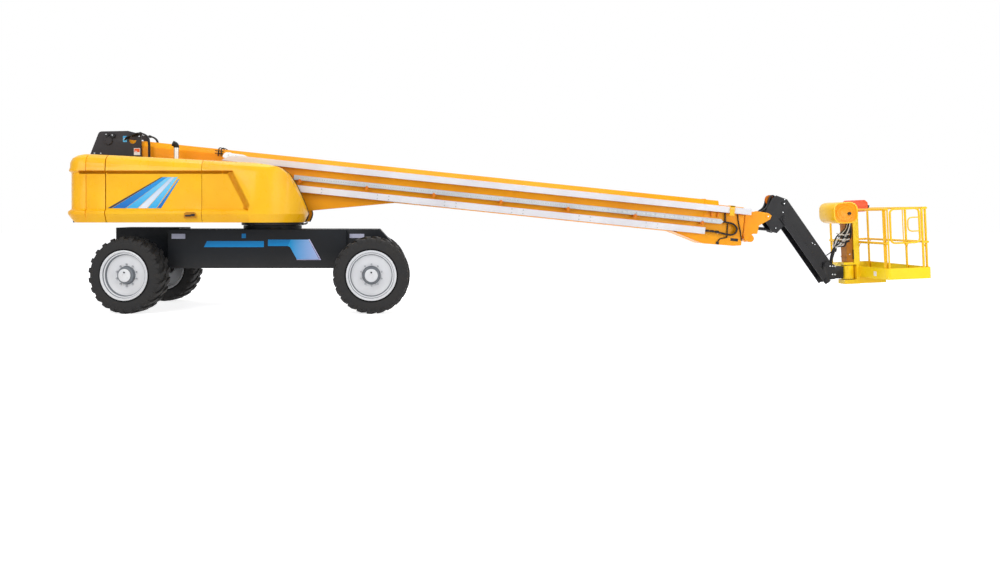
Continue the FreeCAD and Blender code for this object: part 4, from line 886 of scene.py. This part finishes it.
# control box: rounded orange cover, with the operator's panel on its inner face
orange = enamel("orange_cover_plastic", "#F25A14", "#EA5010", gloss=0.4, coat=0.05)
dressed("control_box", "control_box_cover", orange, 0.012)
panel_black = enamel("black_control_panel", "#1B1C1F", "#141517", gloss=0.5, coat=0.0)
stop_red = enamel("red_stop_button", "#C4151B", "#B01016", gloss=0.3)
shape = bmesh.new()
block(shape, (6.1485, 0.15, 1.54), (6.156, 0.45, 1.645), 0)
for place in range(4):
    bolt(shape, (6.156, 0.19 + place * 0.07, 1.60), (1, 0, 0), 0.009, 0.02, 1, 12)
    bolt(shape, (6.156, 0.19 + place * 0.07, 1.565), (1, 0, 0), 0.006, 0.012, 2, 10)
bolt(shape, (6.156, 0.425, 1.575), (1, 0, 0), 0.018, 0.022, 3, 20)
for y in (0.2, 0.36):
    tube(shape, [(6.15, y, 1.525), (6.175, y, 1.535), (6.19, y, 1.57)], 0.008, 12, 0.01, 0)
    tube(shape, [(6.188, y, 1.565), (6.198, y, 1.60)], 0.014, 14, index=0)
face_out(shape, platform_seat)
placed(shape, "control_panel_fittings", (panel_black, latch_metal, label_white, stop_red), 0.0, 40,
       body="platform_body")

# ---------------------------- wheels
# Steel disc wheels in pale enamel, dished inboard of their flanges, with ten nuts
# round a planetary hub whose end carries a dark drain plug.
rim_white = enamel("pale_rim_enamel", "#F0F1F2", "#E4E5E8", gloss=0.3, dust="#A79E92", dust_low=0.1,
                   dust_high=0.9)
nut_steel = bare_metal("zinc_plated_nut", "#A9ABAE", 0.25, 0.4)
hub_silver = enamel("silver_hub_enamel", "#F4F4F4", "#DEDFE1", gloss=0.28, coat=0.1)
# grey for the rings of painted shade in each rim's well and round its hub
rim_painted_shade_grey = enamel("rim_painted_shade_enamel", "#8C9095", "#75797E", gloss=0.4, coat=0.0, shine=0.2)
plug_black = enamel("black_drain_plug", "#2A2A2C", "#222224", gloss=0.5, coat=0.0)
wheels = ("fr", "fl", "rr", "rl")
nut_count, nut_circle = 10, 0.162


def wheel_seat(tag):
    """Matrix from a wheel's own frame, +Y outboard along its spindle, to the machine's."""
    spindle = joint_facts["roll_" + tag]
    outboard = Vector(spindle["axis"]).normalized() * (-1 if tag[1] == "r" else 1)
    up = Vector((0, 0, 1))
    forward = outboard.cross(up)
    turn = Matrix((forward, outboard, up)).transposed().to_4x4()
    return Matrix.Translation(spindle["pos_m"]) @ turn


def spun(shape, outline, steps):
    """Spin a closed (radius, y) outline about the Y axis into the shape."""
    points = [shape.verts.new((radius, y, 0)) for radius, y in outline]
    edges = [shape.edges.new((points[place], points[place - 1])) for place in range(len(points))]
    bmesh.ops.spin(shape, geom=points + edges, cent=(0, 0, 0), axis=(0, 1, 0), angle=math.tau, steps=steps,
                   use_merge=True)
    bmesh.ops.remove_doubles(shape, verts=shape.verts, dist=0.0001)
    return shape


rim_outline = [(0.0, 0.186), (0.028, 0.186), (0.03, 0.194), (0.086, 0.196), (0.097, 0.19), (0.1, 0.17),
               (0.122, 0.162), (0.128, 0.152), (0.13, 0.112), (0.14, 0.104), (0.2, 0.106), (0.29, 0.118),
               (0.302, 0.128), (0.308, 0.16), (0.316, 0.17), (0.334, 0.176), (0.34, 0.198), (0.35, 0.212),
               (0.364, 0.222), (0.373, 0.219), (0.375, 0.212), (0.37, 0.204), (0.345, 0.19), (0.345, -0.19),
               (0.37, -0.204), (0.375, -0.212), (0.364, -0.222), (0.348, -0.21), (0.332, -0.188),
               (0.324, 0.05), (0.31, 0.08), (0.2, 0.088), (0.115, 0.088), (0.115, 0.02), (0.0, 0.02)]
for tag in wheels:
    seat = wheel_seat(tag)
    shape = spun(bmesh.new(), rim_outline, 72)
    face_out(shape)
    # hub face in silver; grey rings at the hub step, the well wall and the bead seat are painted shade
    for face in shape.faces:
        middle = face.calc_center_median()
        reach = math.hypot(middle.x, middle.z)
        if middle.y > 0.15 and reach < 0.094:
            face.material_index = 3
        elif middle.y > 0.1 and (0.098 < reach < 0.14 or 0.296 < reach < 0.316 or 0.333 < reach < 0.341):
            face.material_index = 4
    for nut in range(nut_count):
        angle = math.tau * (nut + 0.5) / nut_count
        spot = Matrix.Rotation(angle, 4, "Y") @ Matrix.Translation((nut_circle, 0.118, 0))
        facing = spot @ Matrix.Rotation(math.radians(-90), 4, "X")
        hexagon = bmesh.ops.create_cone(shape, cap_ends=True, segments=6, radius1=0.0155, radius2=0.0145,
                                        depth=0.024, matrix=facing)
        shank = bmesh.ops.create_cone(shape, cap_ends=True, segments=8, radius1=0.009, radius2=0.008,
                                      depth=0.05,
                                      matrix=facing)
        paint(hexagon["verts"] + shank["verts"], 1)
    bolt(shape, (0, 0.194, 0.045), (0, 1, 0), 0.014, 0.008, 2, 12)
    for place in range(3):
        spot = Matrix.Rotation(math.tau * place / 3 + 0.4, 4, "Y") @ Matrix.Translation((0.062, 0.196, 0))
        bmesh.ops.create_cone(shape, cap_ends=True, segments=6, radius1=0.011, radius2=0.01, depth=0.014,
                              matrix=spot @ Matrix.Rotation(math.radians(-90), 4, "X"))
    bmesh.ops.transform(shape, matrix=seat, verts=shape.verts)
    placed(shape, "rim_%s_disc_wheel" % tag, (rim_white, nut_steel, plug_black, hub_silver, rim_painted_shade_grey), 0.0,
           35,
           replaces=("rim_" + tag,), slot_of="rim_" + tag)

# ---------------------------- tyres
# Filled rubber tyres for rough ground: a plain bulging wall, and deep lugs that run
# in turn from each shoulder to the middle of the tread.
def tyre_rubber():
    """Vulcanised rubber, matt and charcoal, greyed with dust in cloudy patches."""
    material, tree = empty_material("vulcanised_tyre_rubber")
    place = add_node(tree, "ShaderNodeTexCoord")
    cloud = noise(tree, place, 6.0, 7.0, 0.65)
    tone = ramp(tree, cloud, "Fac", (0.35, "#161618"), (0.72, "#302E2C"))
    grit = noise(tree, place, 120.0, 3.0)
    relief = add_node(tree, "ShaderNodeBump", {"Strength": 0.3, "Distance": 0.002}, (grit, "Fac", "Height"))
    rough = gloss_range(tree, cloud, 0.58, 0.85)
    surface = add_node(tree, "ShaderNodeBsdfPrincipled", {"Metallic": 0.0, "IOR": 1.52,
                                                          "Specular IOR Level": 0.3},
                       (tone, "Color", "Base Color"), (rough, 0, "Roughness"), (relief, 0, "Normal"))
    add_node(tree, "ShaderNodeOutputMaterial", {}, (surface, 0, 0))
    return material


rubber = tyre_rubber()
rim_side_dark_rubber = enamel("dark_rubber_ring_by_rim", "#0B0B0C", "#080809", gloss=0.6, coat=0.0, shine=0.15)
tyre_half = [(0.352, 0.185), (0.378, 0.196), (0.384, 0.206), (0.398, 0.21), (0.43, 0.219), (0.46, 0.2225),
             (0.49, 0.221), (0.52, 0.212), (0.54, 0.195), (0.548, 0.16), (0.553, 0.08)]
tyre_outline = tyre_half + [(0.554, 0.0)] + [(radius, -y) for radius, y in tyre_half[::-1]]
bead_reach = 0.395
lug_count, lug_radius = 23, 0.56
lug_line = ((0.0, 0.55, 0.5775, 0.0), (0.08, 0.549, 0.5775, 0.07), (0.15, 0.545, 0.577, 0.12),
            (0.196, 0.534, 0.566, 0.14), (0.2205, 0.505, 0.536, 0.145), (0.2225, 0.47, 0.487, 0.15))
tread_lugs = []
for flank in (1, -1):
    lug_block = bmesh.new()
    bmesh.ops.create_cube(lug_block, size=1.0)
    for cut in range(1, len(lug_line) - 1):
        bmesh.ops.bisect_plane(lug_block, geom=lug_block.verts[:] + lug_block.edges[:] + lug_block.faces[:],
                               plane_co=(0, cut / (len(lug_line) - 1) - 0.5, 0), plane_no=(0, 1, 0))
    for vert in lug_block.verts:
        step = round((vert.co.y + 0.5) * (len(lug_line) - 1))
        across, foot, crown, lag = lug_line[step]
        tip = vert.co.z > 0
        wide = 0.034 - 0.0008 * step if tip else 0.042
        radius = crown if tip else foot - 0.006
        angle = lag * flank + vert.co.x * 2 * wide / lug_radius
        out = across if tip else max(across - 0.01, 0.0)
        vert.co = (radius * math.cos(angle), flank * out, radius * math.sin(angle))
    bmesh.ops.recalc_face_normals(lug_block, faces=lug_block.faces)
    lug_mesh = bpy.data.meshes.new("tread_lug")
    lug_block.to_mesh(lug_mesh)
    lug_block.free()
    tread_lugs.append(lug_mesh)
for tag in wheels:
    seat = wheel_seat(tag)
    shape = spun(bmesh.new(), tyre_outline, 96)
    face_out(shape)
    # faces inward of bead_reach, next to the rim, take a darker rubber than the rest of the wall
    for face in shape.faces:
        middle = face.calc_center_median()
        if math.hypot(middle.x, middle.z) < bead_reach:
            face.material_index = 1
    for half, lug_mesh in enumerate(tread_lugs):
        for lug in range(lug_count):
            before = len(shape.verts)
            shape.from_mesh(lug_mesh)
            shape.verts.ensure_lookup_table()
            bmesh.ops.rotate(shape, cent=(0, 0, 0), verts=shape.verts[before:],
                             matrix=Matrix.Rotation(-math.tau * (lug + half * 0.5) / lug_count, 3, "Y"))
    bmesh.ops.transform(shape, matrix=seat, verts=shape.verts)
    placed(shape, "tyre_%s_lugged" % tag, (rubber, rim_side_dark_rubber), 0.0, 28, replaces=("tyre_" + tag,),
           slot_of="tyre_" + tag)

# ---------------------------- cylinder rods
# Ground steel rods of the lift and jib cylinders, their hard chrome left bare for the
# seals to run on. The levelling rod is painted with the jib.
chrome = bare_metal("hard_chrome_plate", "#D5D8DB", 0.1, 0.2)
for node in ("lift_rod", "jib_rod"):
    dressed(node, node + "_chromed", chrome, 0.0)

# ---------------------------- engine bay
# Diesel engine under the right door, oil tank under the left one, and the exhaust pipe
# that stands through the hood, with its black elbow.
cast = enamel("cast_engine_grey", "#4B4E52", "#3E4145", gloss=0.55, coat=0.0)
tank_black = enamel("black_oil_tank", "#1B1E23", "#15181C", gloss=0.4)
dressed("engine", "engine_block_cast", cast, 0.012)
dressed("hydraulic_tank", "hydraulic_tank_painted", tank_black, 0.012)
shape = bmesh.new()
for rib in range(9):
    x = -5.70 + rib * 0.105
    block(shape, (x, -1.036, 1.50), (x + 0.02, -1.018, 1.98), 0)
for cover in range(3):
    x = -5.66 + cover * 0.3
    block(shape, (x, -0.98, 2.07), (x + 0.24, -0.78, 2.12), 0)
    for shift in (0.06, 0.18):
        bolt(shape, (x + shift, -0.88, 2.12), (0, 0, 1), 0.012, 0.012, 1)
bolt(shape, (-5.62, -1.02, 1.62), (0, -1, 0), 0.055, 0.07, 2, 28)
bolt(shape, (-5.42, -1.02, 1.60), (0, -1, 0), 0.045, 0.06, 3, 28)
for spot, radius in (((-4.92, -1.02, 1.60), 0.11), ((-4.80, -1.02, 1.86), 0.06),
                     ((-5.08, -1.02, 1.86), 0.07)):
    bolt(shape, spot, (0, -1, 0), radius, 0.03, 1, 32)
    bolt(shape, Vector(spot) + Vector((0, -0.03, 0)), (0, -1, 0), radius * 0.4, 0.012, 0, 20)
tube(shape, [(-4.80, -1.04, 1.92), (-5.08, -1.04, 1.93), (-5.15, -1.04, 1.86), (-5.0, -1.04, 1.53),
             (-4.85, -1.04, 1.51), (-4.77, -1.04, 1.62), (-4.74, -1.04, 1.86), (-4.80, -1.04, 1.92)], 0.008,
             8,
     0.05, 2)
tube(shape, [(-5.56, -0.62, 2.09), (-5.56, -0.62, 2.15), (-5.2, -0.62, 2.16), (-5.05, -0.7, 2.12)], 0.035,
     14,
     0.08, 2)
for strand in range(3):
    tube(shape, [(-5.72, -1.045, 1.45 + strand * 0.03), (-5.3, -1.05, 1.44 + strand * 0.03),
                 (-5.1, -1.045, 1.47 + strand * 0.03)], 0.012, 10, 0.05, 2)
face_out(shape)
placed(shape, "engine_fittings", (cast, latch_metal, black_rubber, stop_red), 0.002, 38,
       body="turntable_body")
shape = bmesh.new()
bolt(shape, (-5.6, 0.8, 2.0), (0, 0, 1), 0.07, 0.05, 1, 32)
bolt(shape, (-5.6, 0.8, 2.05), (0, 0, 1), 0.05, 0.012, 0, 32)
block(shape, (-5.40, 1.018, 1.55), (-5.36, 1.03, 1.83), 1)
block(shape, (-5.392, 1.029, 1.57), (-5.368, 1.033, 1.81), 2)
for row in range(4):
    tube(shape, [(-5.1 + row * 0.06, 1.02, 1.46), (-5.1 + row * 0.06, 1.045, 1.50),
                 (-5.05 + row * 0.06, 1.05, 1.62), (-4.95 + row * 0.05, 1.005, 1.70)], 0.014, 10, 0.04, 0)
    bolt(shape, (-5.1 + row * 0.06, 1.02, 1.46), (0, 1, 0), 0.022, 0.02, 1)
face_out(shape)
placed(shape, "tank_fittings", (black_rubber, latch_metal, label_white), 0.002, 38, body="turntable_body")
pipe_steel = bare_metal("aluminised_exhaust_pipe", "#CFCBC4", 0.3, 0.45)
elbow_black = enamel("sooted_exhaust_elbow", "#121212", "#0B0B0B", gloss=0.6, coat=0.0)
shape = bmesh.new()
pipe_foot = Vector((-5.03, -0.52, 2.08))
tube(shape, [pipe_foot, pipe_foot + Vector((0, 0, 0.47))], 0.038, 28)
tube(shape, [pipe_foot + Vector((0, 0, 0.44)), pipe_foot + Vector((0, 0, 0.49)),
             pipe_foot + Vector((-0.052, -0.026, 0.516))],
     0.042, 28, 0.03, 1)
tube(shape, [pipe_foot + Vector((0, 0, 0.425)), pipe_foot + Vector((0, 0, 0.445))], 0.044, 28, index=0)
for lift in (0.30, 0.38):
    tube(shape, [pipe_foot + Vector((0, 0, lift)), pipe_foot + Vector((0, 0, lift + 0.012))], 0.041, 28,
         index=0)
face_out(shape)
placed(shape, "exhaust_pipe_bent", (pipe_steel, elbow_black), 0.0, 40, replaces=("exhaust",),
       slot_of="exhaust")
